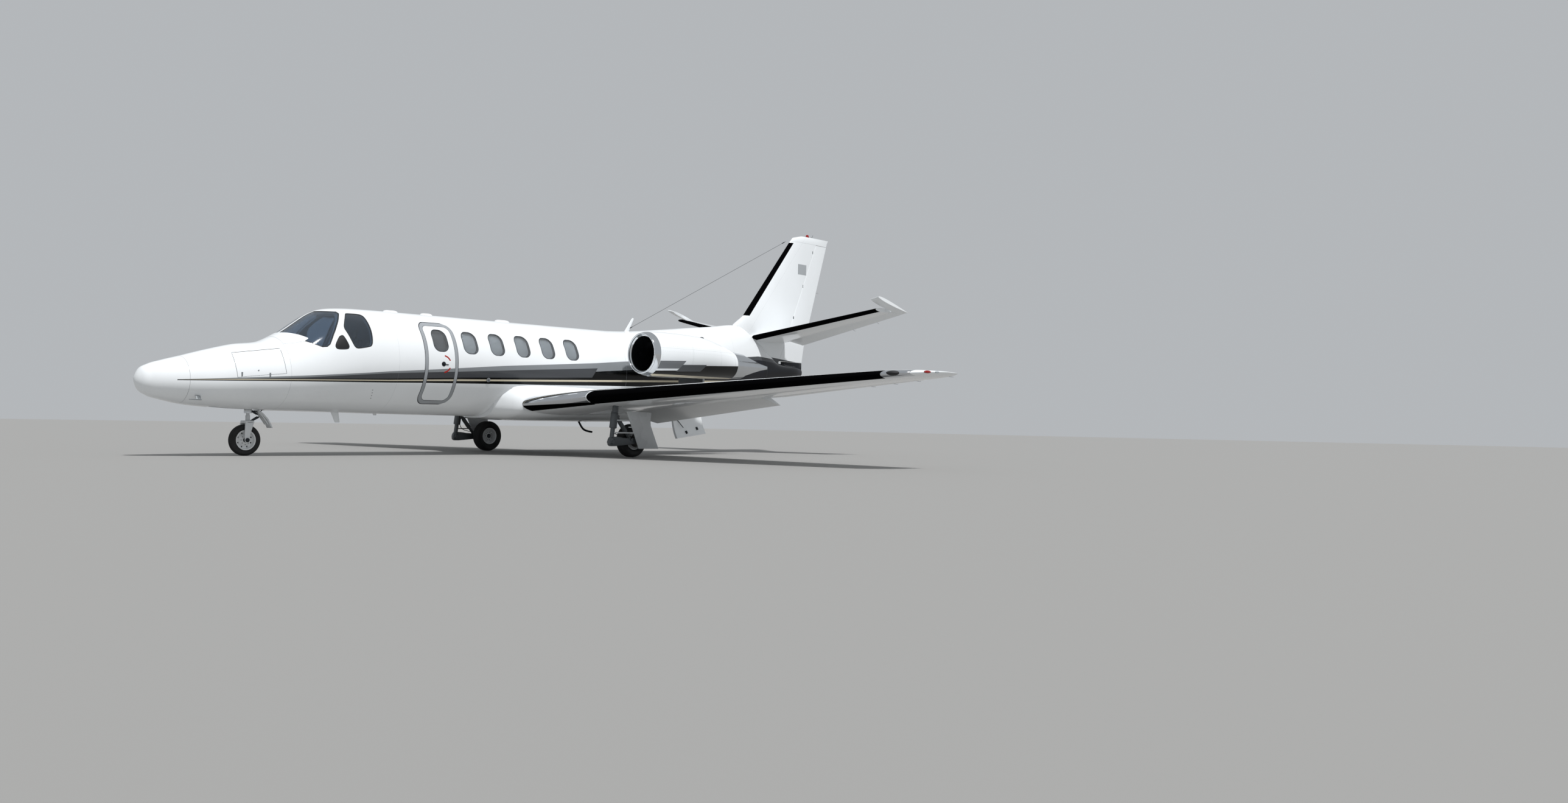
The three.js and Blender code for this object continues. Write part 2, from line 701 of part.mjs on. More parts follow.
// A seat: pedestal, cushion with back, and headrest, looking forward or aft.
function seat(across, front, facing) {
  const at = (d) => front + facing * d;
  const form = (outline, half) =>
    sidePrism(outline.map(([d, h]) => [at(d), h]), across - half, across + half);
  const { half, inboard, top, ...foot } = SEAT.pedestal;
  const stations = [at(foot.front), at(foot.rear)].sort((a, b) => a - b);
  const middle = across - Math.sign(across) * inboard;
  const pedestal = block([middle - half, middle + half], stations, [FLOOR_TOP + SEAT_GAP, top]);
  return joined([form(SEAT.outline, SEAT.half), pedestal, form(SEAT.headrest, SEAT.headrestHalf)]);
}

function tailSection() {
  const inside = bodyForm(TAIL_FRAME + TAIL_WALL, TAIL_BAY_END, TAIL_WALL, BAY_SIDES);
  const wall = cutBy(bodyForm(TAIL_FRAME, TAIL_END), [inside, swingTool(AFT_DOOR, 1, 1, MOVING_GAP)]);
  return joined([wall, ...hingeEnds(AFT_DOOR, AFT_HINGE_END, MOVING_GAP + 1)]);
}

function aftDoor() {
  const [from, to] = [AFT_DOOR.hingeFront[1] - 100, AFT_DOOR.hingeRear[1] + 100];
  const wall = bodyForm(from, to).subtract(bodyForm(from - 1, to + 1, TAIL_WALL, BAY_SIDES));
  const closed = wall.intersect(swingTool(AFT_DOOR, 1, 1, 0));
  const [front, rear] = [place(...AFT_DOOR.hingeFront), place(...AFT_DOOR.hingeRear)];
  return swung(closed, front, new THREE.Vector3().subVectors(rear, front), AFT_DOOR.open);
}

// Wings and tail surfaces

// Half thickness of a four-digit section at a share of its chord, for a thickness of one chord.
function halfThickness(x) {
  return 5 * (0.2969 * Math.sqrt(x) - 0.126 * x - 0.3516 * x ** 2 + 0.2843 * x ** 3 - 0.1015 * x ** 4);
}

// A point on a section between a leading and a trailing edge, above (1) or below (-1) its mean line.
function foilPoint({ lead, trail, normal, thick, camber }, x, side) {
  const chord = lead.distanceTo(trail);
  const offset = chord * (4 * camber * x * (1 - x) + side * thick * halfThickness(x));
  return lead.clone().lerp(trail, x).addScaledVector(normal, offset);
}

const FOIL_SHARES = [1, 0.87, 0.74, 0.56, 0.38, 0.22, 0.1, 0.035, 0.008];

function foilRing(section) {
  const upper = FOIL_SHARES.map((x) => foilPoint(section, x, 1));
  const lower = FOIL_SHARES.map((x) => foilPoint(section, x, -1)).reverse();
  return [...upper, foilPoint(section, 0, 0), ...lower];
}

function wingSection(table, across, camber) {
  const [, leadStation, leadHeight, trailStation, trailHeight, thick] = rowAt(table, across);
  const lead = place(across, leadStation, leadHeight);
  const trail = place(across, trailStation, trailHeight);
  const chord = new THREE.Vector3().subVectors(trail, lead).normalize();
  const normal = new THREE.Vector3(0, -chord.z, chord.y);
  return { lead, trail, normal, thick, camber };
}

function surfaceForm(table, from, to, camber) {
  return loft(keysBetween(table, from, to).map((across) =>
    foilRing(wingSection(table, across, camber))));
}

function finSection(height) {
  const [, leadStation, trailStation, thick] = rowAt(FIN_STATIONS, height);
  const normal = new THREE.Vector3(1, 0, 0);
  return {
    lead: place(0, leadStation, height), trail: place(0, trailStation, height), normal, thick, camber: 0,
  };
}

// The hinge point of a section at a share of its chord, and what is needed to shape its flap.
function hingeAt(section, share, below = null) {
  const upper = foilPoint(section, share, 1);
  const lower = foilPoint(section, share, -1);
  const hinge = below === null
    ? upper.clone().lerp(lower, 0.5)
    : lower.clone().addScaledVector(section.normal, -below);
  const radius = hinge.distanceTo(upper);
  const aft = new THREE.Vector3().subVectors(section.trail, hinge);
  const length = aft.length();
  aft.normalize();
  const rise = section.normal.clone().addScaledVector(aft, -section.normal.dot(aft)).normalize();
  return { hinge, radius, aft, rise, length, lead: section.lead };
}

function polar({ hinge, aft, rise }, radius, degrees) {
  const angle = THREE.MathUtils.degToRad(degrees);
  return hinge.clone()
    .addScaledVector(aft, radius * Math.cos(angle)).addScaledVector(rise, radius * Math.sin(angle));
}

function degreesBetween(from, to, steps) {
  return Array.from({ length: steps + 1 }, (_, i) => from + (to - from) * i / steps);
}

const EDGE_HALF = 3;
const FAR = 1400;

function trailingEdge(frame) {
  const { hinge, aft, rise, length } = frame;
  return [-EDGE_HALF, EDGE_HALF].map((up) =>
    hinge.clone().addScaledVector(aft, length).addScaledVector(rise, up));
}

// A surface with a round nose, hinged at the middle of its thickness.
function plainRing(frame) {
  const nose = degreesBetween(90, 270, 6).map((d) => polar(frame, frame.radius - 1, d));
  return [...nose, ...trailingEdge(frame)];
}

// What such a surface needs cut away, for a travel in degrees each way.
function plainCutRing(frame, travel) {
  const [high, low] = [96 + travel, 264 - travel];
  const reach = frame.radius + MOVING_GAP + 2;
  const arc = degreesBetween(high, low, 6).map((d) => polar(frame, reach, d));
  const ends = [
    polar(frame, 3 * reach, low), polar(frame, FAR, -35), polar(frame, FAR, 35),
    polar(frame, 3 * reach, high),
  ];
  return [...arc, ...ends];
}

// A flap hinged below the wing: its nose is an arc about the hinge, hidden by the wing's lip.
function flapRing(frame) {
  const nose = degreesBetween(90, 160, 6).map((d) => polar(frame, frame.radius - 5, d));
  const heel = frame.hinge.clone()
    .addScaledVector(frame.aft, -0.86 * frame.radius).addScaledVector(frame.rise, FLAP.below + 4);
  return [...nose, heel, ...trailingEdge(frame)];
}

function flapCutRing(frame) {
  const reach = frame.radius + MOVING_GAP;
  const arc = degreesBetween(92, 190, 8).map((d) => polar(frame, reach, d));
  const ends = [
    polar(frame, 2 * reach, 215), polar(frame, FAR, -35), polar(frame, FAR, 35),
    polar(frame, 2 * reach, 86),
  ];
  return [...arc, ...ends];
}

// A pin past the end of a hinge line that runs from one point to another: it crosses the gap there
// and stands in the fixed part. With grow it is the bore for that pin.
function hingePin(from, to, gap, grow = 0) {
  const along = new THREE.Vector3().subVectors(to, from).normalize();
  const bored = grow > 0;
  const radius = bored ? (PIN_RADIUS + grow) / Math.cos(Math.PI / PIN_SIDES) : PIN_RADIUS;
  const reach = gap + PIN_REACH + (bored ? PIN_END_GAP : 0);
  return rod(to.clone().addScaledVector(along, -PIN_ROOT), to.clone().addScaledVector(along, reach),
    radius, PIN_SIDES);
}

function hingePinPair(frameAt, { inner, outer }, grow = 0) {
  const [near, far] = [frameAt(inner).hinge, frameAt(outer).hinge];
  return [hingePin(far, near, END_GAP, grow), hingePin(near, far, END_GAP, grow)];
}

function spanLoft(sectionAt, stations, ringOf) {
  return loft(stations.map((station) => ringOf(sectionAt(station))));
}

const END_GAP = 15;

const wingSectionAt = (across) => wingSection(WING_STATIONS, across, WING_CAMBER);
const flapFrame = (across) => hingeAt(wingSectionAt(across), FLAP.hinge, FLAP.below);
const aileronFrame = (across) => hingeAt(wingSectionAt(across), AILERON.hinge);
const flapStations = (gap) => keysBetween(WING_STATIONS, FLAP.inner - gap, FLAP.outer + gap);

function wing() {
  const whole = surfaceForm(WING_STATIONS, WING_ROOT, WING_TIP, WING_CAMBER);
  const flapCut = spanLoft(flapFrame, flapStations(END_GAP), flapCutRing);
  const aileronCut = spanLoft(
    aileronFrame, [AILERON.inner - END_GAP, AILERON.outer + END_GAP],
    (frame) => plainCutRing(frame, AILERON.travel),
  );
  const pocket = ({ inner, outer, front, rear, roof }) =>
    block([inner, outer], [front, rear], [BEYOND.belly, roof]);
  const bores = [
    ...hingePinPair(flapFrame, FLAP, SEAT_GAP), ...hingePinPair(aileronFrame, AILERON, SEAT_GAP),
  ];
  return cutBy(whole, [flapCut, aileronCut, pocket(LEG_SLOT), pocket(WHEEL_WELL), ...bores]);
}

function flap() {
  const blade = spanLoft(flapFrame, flapStations(0), flapRing);
  const up = joined([blade, ...hingePinPair(flapFrame, FLAP)]);
  const [inner, outer] = [flapFrame(FLAP.inner).hinge, flapFrame(FLAP.outer).hinge];
  return swung(up, inner, new THREE.Vector3().subVectors(outer, inner), -FLAP.rest);
}

function aileron() {
  const blade = spanLoft(aileronFrame, [AILERON.inner, AILERON.outer], plainRing);
  return joined([blade, ...hingePinPair(aileronFrame, AILERON)]);
}

function wingFairing() {
  const rings = FAIRING_SECTIONS.map(([s, half, bottom, sideLow, sideHigh, topAcross, topHeight]) => {
    const port = [
      [half * 0.55, bottom + 6], [half * 0.9, (bottom + sideLow) / 2], [half, sideLow],
      [half, sideHigh], [topAcross + 40, topHeight - 60], [topAcross, topHeight],
    ];
    const starboard = port.map(([x, h]) => [-x, h]).reverse();
    return [[0, bottom], ...port, ...starboard].map(([x, h]) => place(x, s, h));
  });
  return loft(rings).subtract(bodyClearance);
}

const finForm = loft(FIN_STATIONS.map(([height]) => foilRing(finSection(height))));

function rudderFrame(height) {
  const share = (height - RUDDER.bottom) / (RUDDER.top - RUDDER.bottom);
  const section = finSection(height);
  const station = RUDDER.hingeLow + share * (RUDDER.hingeHigh - RUDDER.hingeLow);
  const chordShare = (station - MID_STATION - section.lead.y) / (section.trail.y - section.lead.y);
  return hingeAt(section, chordShare);
}

// The pin at the rudder's top.
function rudderPin(grow = 0) {
  const [low, high] = [rudderFrame(RUDDER.bottom).hinge, rudderFrame(RUDDER.top).hinge];
  return hingePin(low, high, RUDDER_TOP_GAP, grow);
}

function fin() {
  const { bottom, top, travel } = RUDDER;
  const heights = keysBetween(FIN_STATIONS, bottom, top + RUDDER_TOP_GAP);
  const cut = loft([FIN_STATIONS[0][0], ...heights].map((height) =>
    plainCutRing(rudderFrame(height), travel)));
  return cutBy(finForm, [cut, bodyClearance, rudderPin(SEAT_GAP)]);
}

function rudder() {
  const heights = keysBetween(FIN_STATIONS, RUDDER.bottom, RUDDER.top);
  const blade = loft(heights.map((height) => plainRing(rudderFrame(height))));
  return joined([blade, rudderPin()]);
}

const stabiliserSectionAt = (across) => wingSection(STABILISER_STATIONS, across, TAIL_CAMBER);
const elevatorFrame = (across) => hingeAt(stabiliserSectionAt(across), ELEVATOR.hinge);

function grownFin() {
  const rings = FIN_STATIONS.map(([height]) => {
    const section = finSection(height);
    return foilRing({ ...section, thick: section.thick * 1.003 + 0.0003 });
  });
  return loft(rings);
}

// The pin at the elevator's inner end.
function elevatorPin(grow = 0) {
  const [near, far] = [elevatorFrame(ELEVATOR.inner).hinge, elevatorFrame(ELEVATOR.outer).hinge];
  return hingePin(far, near, ELEVATOR_ROOT_GAP, grow);
}

function stabiliser() {
  const whole = surfaceForm(STABILISER_STATIONS, STABILISER_ROOT, ELEVATOR.outer, TAIL_CAMBER);
  const cut = spanLoft(elevatorFrame, [ELEVATOR.inner - ELEVATOR_ROOT_GAP, HORN.outer],
    (frame) => plainCutRing(frame, ELEVATOR.travel - ELEVATOR.lessCut));
  const { inner, outer, front, rear, bottom, top } = RUDDER_SWEEP;
  const sweep = block([inner, outer], [front, rear], [bottom, top]);
  return cutBy(whole, [cut, grownFin(), bodyClearance, sweep, elevatorPin(SEAT_GAP)]);
}

// The elevator with its horn, turned down to its lower stop.
function elevator() {
  const blade = spanLoft(elevatorFrame, [ELEVATOR.inner, HORN.inner], plainRing);
  const hornRing = (across) => {
    const section = stabiliserSectionAt(ELEVATOR.outer);
    const rise = (across - ELEVATOR.outer) * Math.tan(THREE.MathUtils.degToRad(HORN_RISE));
    const lead = place(across, HORN.nose, section.lead.z + rise);
    const trail = section.trail.clone().setX(across).add(new THREE.Vector3(0, 0, rise));
    return foilRing({ lead, trail, normal: new THREE.Vector3(0, 0, 1), thick: HORN.thick, camber: 0 });
  };
  const horn = loft([HORN.inner - TIP_TOUCH, HORN.outer].map(hornRing));
  const [inner, outer] = [elevatorFrame(ELEVATOR.inner).hinge, elevatorFrame(ELEVATOR.outer).hinge];
  const axis = new THREE.Vector3().subVectors(outer, inner);
  return swung(joined([blade, horn, elevatorPin()]), inner, axis, -ELEVATOR.droop);
}

// Engines

function podForm(sections, sides = POD_SIDES) {
  return loft(sections.map(([station, radius, height]) =>
    Array.from({ length: sides }, (_, i) => {
      const angle = (i + 0.5) / sides * 2 * Math.PI;
      return place(
        ENGINE_ACROSS + radius * Math.cos(angle), station, height + radius * Math.sin(angle),
      );
    })));
}

function nacelle() {
  const pylon = surfaceForm(PYLON_STATIONS, PYLON_STATIONS[0][0], PYLON_STATIONS[1][0], 0);
  return cutBy(joined([podForm(POD_SECTIONS), pylon]), [podForm(DUCT_SECTIONS), bodyClearance]);
}

// The engine's mass behind the fan, with its shaft end and its jet pipe.
function engineCore() {
  const axisAt = (station) => place(ENGINE_ACROSS, station, FAN_HEIGHT);
  const shaft = rod(axisAt(FAN_STATION + 20), axisAt(CORE_FRONT + 1), SHAFT_RADIUS, 20);
  const [end, , endHeight] = NOZZLE_END;
  const pipe = podForm([
    [JET_PIPE_FRONT, JET_PIPE_RADIUS, endHeight], [end + 1, JET_PIPE_RADIUS, endHeight],
  ]);
  const held = keysBetween(DUCT_SECTIONS, CORE_FRONT, CORE_REAR).map((station) => {
    const [, radius, height] = rowAt(DUCT_SECTIONS, station);
    return [station, radius - SEAT_GAP, height];
  });
  return joined([podForm([...held, NOZZLE_END]), shaft]).subtract(pipe);
}

// The polished tail pipe, cut away above and below so that it ends in a point on each side.
function reverser() {
  const inside = REVERSER_SECTIONS.map(([station, radius, height], i) =>
    [station + (i === 0 ? -1 : i === 2 ? 1 : 0), radius - REVERSER_WALL, height]);
  const [near, far] = [ENGINE_ACROSS - POD_REACH, ENGINE_ACROSS + POD_REACH];
  return cutBy(podForm(REVERSER_SECTIONS), [podForm(inside), sidePrism(REVERSER_ABOVE, near, far),
    sidePrism(REVERSER_BELOW, near, far)]);
}

function fan() {
  const spinner = [
    [0, -165], [52, -110], [FAN_HUB - 8, -30], [FAN_HUB, 30], [FAN_HUB, 138],
    [SHAFT_RADIUS + 1.2, 138], [SHAFT_RADIUS + 1.2, 12], [0, 12],
  ];
  const axis = new THREE.Vector3(0, 1, 0);
  const centre = place(ENGINE_ACROSS, FAN_STATION, FAN_HEIGHT);
  const hub = turned(spinner, centre, axis, FAN_BLADES);
  const blades = Array.from({ length: FAN_BLADES }, (_, i) =>
    swung(fanBlade(centre), centre, axis, i * 360 / FAN_BLADES));
  return joined([hub, ...blades]);
}

// One twisted blade: radius, pitch in degrees and width at its root and tip.
function fanBlade(centre) {
  const stations = [[FAN_HUB - 12, 40, 84], [FAN_RADIUS, 64, 90]];
  return loft(stations.map(([radius, pitch, width]) => {
    const angle = THREE.MathUtils.degToRad(pitch);
    const [c, s] = [Math.cos(angle), Math.sin(angle)];
    return [[-width / 2, 0], [0, 4], [width / 2, 0], [0, -4]].map(([u, v]) =>
      new THREE.Vector3(
        centre.x + u * s + v * c, centre.y + 58 + u * c - v * s, centre.z + radius,
      ));
  }));
}

// Landing gear

function wheelProfile(radius, half, bore) {
  return [
    [bore, -half * 0.7], [radius * 0.4, -half * 0.7], [radius - 20, -half * 0.5], [radius, -half],
    [radius, half], [radius - 20, half * 0.5], [radius * 0.4, half * 0.7], [bore, half * 0.7],
    [bore, -half * 0.7],
  ];
}

function tyreProfile(inner, outer, half) {
  const depth = outer - inner;
  return [
    [inner, -half * 0.72], [inner + depth * 0.45, -half], [outer - depth * 0.14, -half * 0.78],
    [outer, -half * 0.4], [outer, half * 0.4], [outer - depth * 0.14, half * 0.78],
    [inner + depth * 0.45, half], [inner, half * 0.72], [inner, -half * 0.72],
  ];
}

const ACROSS = new THREE.Vector3(1, 0, 0);
const NOSE_AXLE_RADIUS = 18;
const NOSE_COLLAR = 52;
const MAIN_AXLE_RADIUS = 26;

function noseLeg() {
  const at = (station, height, across = 0) => place(across, station, height);
  const top = NOSE_WELL.roof - SEAT_GAP;
  return joined([
    rod(at(NOSE_LEG_STATION, top), at(NOSE_LEG_STATION, 640), 40),
    rod(at(NOSE_LEG_STATION, 660), at(NOSE_LEG_STATION, 604), NOSE_COLLAR, 18),
    rod(at(NOSE_LEG_STATION, 700), at(1715, top - 24), 20, 8),
    rod(at(NOSE_LEG_STATION, 760, -110), at(NOSE_LEG_STATION, 760, 110), 22, 10),
  ]);
}

// The curved door behind the leg, with the rod that ties it to the leg.
function noseGearDoor() {
  const outline = [
    [1690, 655], [1765, 605], [1835, 530], [1880, 455], [1905, 400], [1885, 395], [1855, 450],
    [1812, 520], [1745, 590], [1672, 642],
  ];
  const tie = rod(place(0, NOSE_LEG_STATION, 640), place(0, 1760, 590), 9, 8);
  const collar = rod(place(0, NOSE_LEG_STATION, 700), place(0, NOSE_LEG_STATION, 600),
    NOSE_COLLAR + SEAT_GAP, 18);
  return joined([sidePrism(outline, -75, 75), tie]).subtract(collar);
}

function noseFork() {
  const { x, y, z } = place(0, NOSE_LEG_STATION, 0);
  const stem = rod(new THREE.Vector3(x, y, z + 604 - SEAT_GAP), place(0, NOSE_LEG_STATION, 480), 32, 16);
  const crown = block([-92, 92], [1500, 1620], [462, 505]);
  const armOutline = [[1500, 480], [1620, 480], [1585, 400], [1552, 200], [1495, 200], [1500, 400]];
  const arms = [[-92, -68], [68, 92]].map(([from, to]) => sidePrism(armOutline, from, to));
  const axle = rod(place(-90, NOSE_AXLE_STATION, NOSE_TYRE_RADIUS),
    place(90, NOSE_AXLE_STATION, NOSE_TYRE_RADIUS), NOSE_AXLE_RADIUS, 16);
  const link = sidePrism([[1600, 500], [1712, 560], [1724, 548], [1612, 470]], -22, 22);
  return joined([stem, crown, ...arms, axle, link]);
}

function wheelAt(profile, across, station, height, sides) {
  return turned(profile, place(across, station, height), ACROSS, sides);
}

// The leg's tube and the thicker housing round its middle.
function legTubes(grow) {
  const at = (station, height) => place(MAIN_LEG_ACROSS, station, height);
  return [
    rod(at(6585, 880), at(6490, 230), 48 + grow, 12),
    rod(at(6575, 700), at(6545, 480), 60 + grow, 12),
  ];
}

function mainLeg() {
  const at = (station, height, across = MAIN_LEG_ACROSS) => place(across, station, height);
  const arm = [[6440, 190], [6520, 180], [7060, 225], [7105, 250], [7105, 300], [7060, 318], [6640, 330],
    [6470, 320]];
  const trunnion = block([MAIN_LEG_ACROSS - 56, MAIN_LEG_ACROSS + 56], [6530, 6655],
    [860, LEG_SLOT.roof - SEAT_GAP]);
  return joined([
    trunnion,
    ...legTubes(0),
    rod(at(6600, 650), at(6900, 290), 36, 10),
    sidePrism(arm, MAIN_LEG_ACROSS - 34, MAIN_LEG_ACROSS + 34),
    rod(at(MAIN_AXLE_STATION, MAIN_TYRE_RADIUS, MAIN_WHEEL_ACROSS - 70),
      at(MAIN_AXLE_STATION, MAIN_TYRE_RADIUS), MAIN_AXLE_RADIUS, 16),
  ]);
}

// The outboard gear door with the rods that tie it to the leg.
function mainGearDoor() {
  const outline = [[6730, 745], [7270, 735], [7240, 542], [7440, 143], [7010, 143], [6830, 542]];
  const rods = [[6560, 600], [6520, 400]].map(([station, height]) =>
    rod(place(MAIN_LEG_ACROSS + 48, station, height), place(MAIN_DOOR_ACROSS + 5, 6900, height), 11, 8));
  const panel = sidePrism(outline, MAIN_DOOR_ACROSS, MAIN_DOOR_ACROSS + 18);
  return cutBy(joined([panel, ...rods]), legTubes(SEAT_GAP));
}

// The whole aircraft

const aircraft = new THREE.Group();
aircraft.name = "business_jet";

function addPiece(name, body, finish) {
  const piece = new THREE.Mesh(geometryOf(body), new THREE.MeshStandardMaterial(finish));
  piece.name = name;
  aircraft.add(piece);
}

// Adds a port piece and its mirror image to starboard.
function addPair(name, body, finish) {
  addPiece(`${name}_left`, body, finish);
  addPiece(`${name}_right`, mirrored(body), finish);
}

addPiece("radome", radome(), WHITE);
addPiece("nose_section", noseSection(), WHITE);
addPiece("cabin_shell", cabinShell(), WHITE);
addPiece("tail_section", tailSection(), WHITE);
addPiece("wing_fairing", wingFairing(), WHITE);
for (const [name, outline] of [
  ["windscreen", WINDSCREEN], ["vent_window", VENT_WINDOW], ["side_window", SIDE_WINDOW],
]) {
  addPair(name, pane(outline, 1), GLASS);
}
addPiece("cabin_windows_left", windowRow(1), GLASS);
addPiece("cabin_windows_right", windowRow(-1), GLASS);
addPiece("cabin_door", cabinDoor(), WHITE);
addPiece("door_window", doorWindow(), GLASS);
addPair("nose_baggage_door", noseDoor(), WHITE);
addPiece("aft_baggage_door", aftDoor(), WHITE);
addPiece("cabin_floor", cabinFloor(), CARPET);
addPiece("instrument_panel", instrumentPanel(), DARK);
for (const [name, across, front, facing] of SEATS) {
  addPiece(name, seat(across, front, facing), LEATHER);
}
addPair("wing", wing(), WHITE);
addPair("flap", flap(), WHITE);
addPair("aileron", aileron(), WHITE);
addPiece("fin", fin(), WHITE);
addPiece("rudder", rudder(), WHITE);
addPair("stabiliser", stabiliser(), WHITE);
addPair("elevator", elevator(), WHITE);
addPair("nacelle", nacelle(), WHITE);
addPair("engine", engineCore(), STEEL);
addPair("reverser", reverser(), POLISHED);
addPair("fan", fan(), STEEL);
addPiece("nose_gear_leg", noseLeg(), STEEL);
addPiece("nose_gear_door", noseGearDoor(), WHITE);
addPiece("nose_fork", noseFork(), STEEL);
addPiece("nose_wheel", wheelAt(wheelProfile(NOSE_RIM_RADIUS - SEAT_GAP * 3, 50, NOSE_AXLE_RADIUS + 0.8),
  0, NOSE_AXLE_STATION, NOSE_TYRE_RADIUS, 20), POLISHED);
addPiece("nose_tyre", wheelAt(tyreProfile(NOSE_RIM_RADIUS, NOSE_TYRE_RADIUS, NOSE_TYRE_WIDTH / 2),
  0, NOSE_AXLE_STATION, NOSE_TYRE_RADIUS, 32), RUBBER);
addPair("main_gear_leg", mainLeg(), STEEL);
addPair("main_gear_door", mainGearDoor(), WHITE);
addPair("main_wheel", wheelAt(
  wheelProfile(MAIN_RIM_RADIUS - SEAT_GAP * 3, 82, MAIN_AXLE_RADIUS + 0.9),
  MAIN_WHEEL_ACROSS, MAIN_AXLE_STATION, MAIN_TYRE_RADIUS, 20), POLISHED);
addPair("main_tyre", wheelAt(tyreProfile(MAIN_RIM_RADIUS, MAIN_TYRE_RADIUS, MAIN_TYRE_WIDTH / 2),
  MAIN_WHEEL_ACROSS, MAIN_AXLE_STATION, MAIN_TYRE_RADIUS, 32), RUBBER);

export default aircraft;
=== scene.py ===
"""Light business jet, parked: skins, glazing, cabin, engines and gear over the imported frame."""
import bpy
import bmesh
import math
from mathutils import Matrix, Vector


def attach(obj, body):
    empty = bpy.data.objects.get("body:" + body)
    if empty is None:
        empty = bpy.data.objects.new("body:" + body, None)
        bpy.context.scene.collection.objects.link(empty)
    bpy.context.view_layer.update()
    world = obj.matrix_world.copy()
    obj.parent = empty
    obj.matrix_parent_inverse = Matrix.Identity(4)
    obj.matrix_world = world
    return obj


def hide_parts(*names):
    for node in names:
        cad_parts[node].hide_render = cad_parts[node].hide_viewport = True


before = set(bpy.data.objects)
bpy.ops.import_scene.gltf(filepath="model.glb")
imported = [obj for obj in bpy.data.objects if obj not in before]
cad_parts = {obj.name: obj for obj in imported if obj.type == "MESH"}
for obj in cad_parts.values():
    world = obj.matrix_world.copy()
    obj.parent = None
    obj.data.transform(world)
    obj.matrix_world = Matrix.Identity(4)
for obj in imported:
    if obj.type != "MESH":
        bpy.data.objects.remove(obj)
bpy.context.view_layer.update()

MID = 7.195
ACROSS, AFT, UP = (1, 0, 0), (0, 1, 0), (0, 0, 1)

# Fuselage sections: station, top, bottom, half width, height of the widest line (metres)
BODY = [
    (0.0, 1.075, 0.985, 0.045, 1.03), (0.05, 1.176, 0.893, 0.142, 1.03),
    (0.15, 1.24, 0.822, 0.212, 1.03), (0.34, 1.306, 0.766, 0.302, 1.032),
    (0.57, 1.372, 0.718, 0.385, 1.04), (0.96, 1.486, 0.679, 0.5, 1.06),
    (1.3, 1.574, 0.656, 0.575, 1.09), (1.7, 1.64, 0.648, 0.645, 1.12),
    (1.86, 1.712, 0.647, 0.67, 1.14), (2.02, 1.802, 0.646, 0.69, 1.16),
    (2.2, 1.932, 0.645, 0.71, 1.195), (2.38, 2.06, 0.644, 0.728, 1.23),
    (2.57, 2.151, 0.643, 0.745, 1.275), (2.77, 2.19, 0.641, 0.76, 1.32),
    (3.17, 2.212, 0.637, 0.78, 1.39), (3.6, 2.214, 0.632, 0.79, 1.42),
    (8.0, 2.205, 0.62, 0.79, 1.42), (8.7, 2.238, 0.634, 0.77, 1.43),
    (9.44, 2.314, 0.7, 0.705, 1.45), (10.1, 2.388, 0.82, 0.615, 1.48),
    (10.8, 2.462, 0.96, 0.51, 1.54), (11.5, 2.54, 1.12, 0.4, 1.6),
    (12.2, 2.2, 1.275, 0.29, 1.66), (12.74, 1.858, 1.4, 0.205, 1.68),
    (12.9, 1.83, 1.435, 0.18, 1.68), (13.4, 1.79, 1.545, 0.09, 1.68),
    (13.55, 1.75, 1.6, 0.045, 1.675),
]
ROUND = 96
SKIN_WALL = 0.07
NOSE_WALL = 0.055
TAIL_WALL = 0.045
LINER_DEPTH = 0.0705
RADOME_SEAM = 0.57
COCKPIT_FRAME = 1.86
TAIL_FRAME = 8.0
TAIL_END = 13.55
SEAM = 0.0012
NOSE_BAY = (1.08, 1.815)
NOSE_BAY_FLOOR = 1.01
TAIL_BAY_END = 12.3
SIDES = ((1, "left"), (-1, "right"))

# Cockpit glazing outlines from the side: station, height
WINDSCREEN = [
    (1.925, 1.704), (2.121, 1.65), (2.219, 1.612), (2.328, 1.569), (2.396, 1.577), (2.445, 1.615),
    (2.527, 1.763), (2.615, 1.904), (2.714, 2.05), (2.752, 2.1), (2.738, 2.131), (2.5, 2.131),
    (2.42, 2.2), (1.925, 1.85),
]
VENT_WINDOW = [
    (2.637, 1.768), (2.664, 1.761), (2.722, 1.615), (2.706, 1.565), (2.653, 1.552), (2.537, 1.548),
    (2.508, 1.576), (2.513, 1.622), (2.589, 1.745),
]
SIDE_WINDOW = [
    (2.836, 2.107), (2.879, 2.116), (3.061, 2.114), (3.104, 2.086), (3.11, 1.983), (3.11, 1.843),
    (3.092, 1.705), (3.072, 1.64), (3.039, 1.611), (2.857, 1.574), (2.811, 1.581), (2.78, 1.624),
    (2.725, 1.792), (2.692, 1.881), (2.746, 1.986),
]
CENTRE_POST = 0.026

# Cabin windows and door
WINDOW_FIRST = 4.79
WINDOW_PITCH = 0.508
WINDOW_WIDTH = 0.255
WINDOW_BOTTOM = 1.605
WINDOW_TOP = 1.94
WINDOW_CORNER = 0.1
DOOR = {"front": 3.94, "rear": 4.53, "bottom": 0.8, "top": 2.06, "corner": 0.145}
DOOR_HINGE = (0.806, 3.93)
DOOR_GLASS = {"front": 4.12, "rear": 4.37, "bottom": 1.613, "top": 1.944}
HANDLE = (4.265, 1.417)

